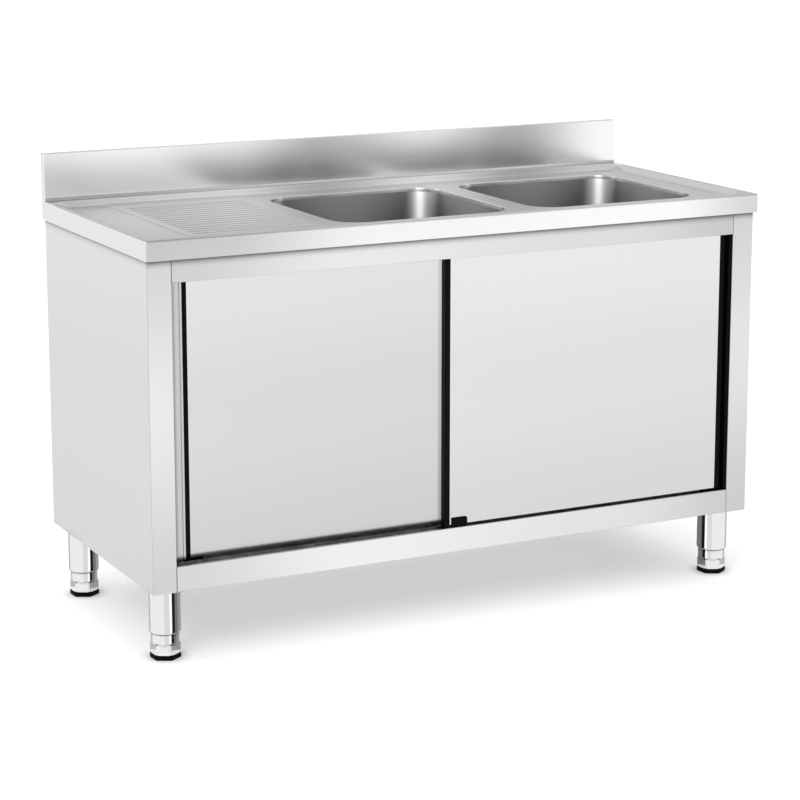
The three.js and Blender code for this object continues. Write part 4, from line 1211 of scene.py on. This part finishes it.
calm()
bpy.ops.mesh.primitive_circle_add(vertices=96, radius=30, fill_type="NGON")
floor = settle("studio_floor")
floor_paint, tree, shader = new_finish("floor_white_paint")
tree.nodes.remove(shader)
rays = add(tree, "LightPath").outputs
seen = reckon(tree, "ADD", rays["Is Camera Ray"], rays["Is Glossy Ray"])
seen = reckon(tree, "ADD", seen, rays["Is Transmission Ray"])
open_floor = add(tree, "AmbientOcclusion", {"Distance": SHADOW_REACH}, samples=16).outputs["AO"]
near_pad = add(tree, "AmbientOcclusion", {"Distance": CONTACT_REACH}, samples=8).outputs["AO"]
glow = reckon(tree, "MULTIPLY", seen, OPEN_GLOW)
for share in (spread(tree, open_floor, SHADOW_GLOW, 1), near_pad):
    glow = reckon(tree, "MULTIPLY", glow, share)
dull = add(tree, "BsdfDiffuse", {"Color": FLOOR_PAINT}).outputs[0]
light = add(tree, "Emission", {"Strength": glow}).outputs[0]
both = add(tree, "AddShader", {0: dull, 1: light}).outputs[0]
feed(tree, tree.nodes["Material Output"], Surface=both)
floor.data.materials.append(floor_paint)
print("floor", floor.name)

# %% [markdown]
# One large softbox stands on the left of the front, high up. It gives the bowls their upright
# highlights and the front its soft light.

# %% Softbox
LAMP_PLACE, LAMP_AIM = Vector((-2.9, -2.4, 2.6)), Vector((0.2, 0, 0.8))  # m
LAMP_SIZE, LAMP_POWER = (2.0, 1.8), 110  # m and W

softbox = bpy.data.lights.new("softbox_left", "AREA")
softbox.shape = "RECTANGLE"
softbox.size, softbox.size_y = LAMP_SIZE
softbox.energy = LAMP_POWER
lamp = bpy.data.objects.new("softbox_left", softbox)
bpy.context.scene.collection.objects.link(lamp)
lamp.location = LAMP_PLACE
lamp.rotation_euler = (LAMP_AIM - LAMP_PLACE).to_track_quat("-Z", "Y").to_euler()
print("softbox", LAMP_SIZE, "m,", LAMP_POWER, "W")

# %% [markdown]
# Polished tubes mirror whatever stands round them. A photographer puts narrow cards beside them, so
# that they show crisp light and dark lines. Each card here is an arc round one leg that only
# mirror-like rays can see.

# %% Cards round the legs
CARD_RADIUS, CARD_HEIGHT = 70, 130
WHITE, LIGHT, PALE, SOFT, GREY, DARK, BLACK = 1.3, 1.04, 0.86, 0.6, 0.36, 0.2, 0.01  # strengths
# Each card runs from one angle to another, in degrees from +X.
CARDS = {
    "left": ((-207, -114.4, LIGHT), (-114.4, -85.8, PALE), (-85.8, -72.2, WHITE),
             (-72.2, -53.9, BLACK), (-53.9, -32.5, DARK), (-32.5, 2.4, GREY), (-234, -207, SOFT)),
    "right": ((-124.4, -28.5, LIGHT), (-153.4, -124.4, PALE), (-166.5, -153.4, WHITE),
              (-190.8, -166.5, BLACK), (-266.4, -190.8, DARK), (-28.5, -1.5, SOFT))}


def arc_card(name, spot, first, last):
    """An upright strip round a leg, spun from one upright edge."""
    x = spot[0] + CARD_RADIUS * math.cos(math.radians(first))
    y = spot[1] + CARD_RADIUS * math.sin(math.radians(first))
    card = lone_edge(name, (x, y, 1), (x, y, 1 + CARD_HEIGHT))
    bpy.ops.mesh.spin(steps=12, angle=-math.radians(last - first), axis=(0, 0, 1),
                      center=metres(*spot, 0))
    done()
    card.visible_camera = card.visible_diffuse = card.visible_shadow = False
    return card


papers = {}
for level in (WHITE, LIGHT, PALE, SOFT, GREY, DARK, BLACK):
    papers[level], tree, shader = new_finish(f"card_{level}")
    tree.nodes.remove(shader)
    feed(tree, tree.nodes["Material Output"],
         Surface=add(tree, "Emission", {"Strength": level}).outputs[0])
for side, strips in CARDS.items():
    for depth, y in LEG_Y.items():
        for first, last, level in strips:
            spot = (LEG_X if side == "right" else -LEG_X, y)
            card = arc_card(f"card_{depth}_{side}_{level}", spot, first, last)
            card.data.materials.append(papers[level])
print("cards round each leg", len(CARDS))
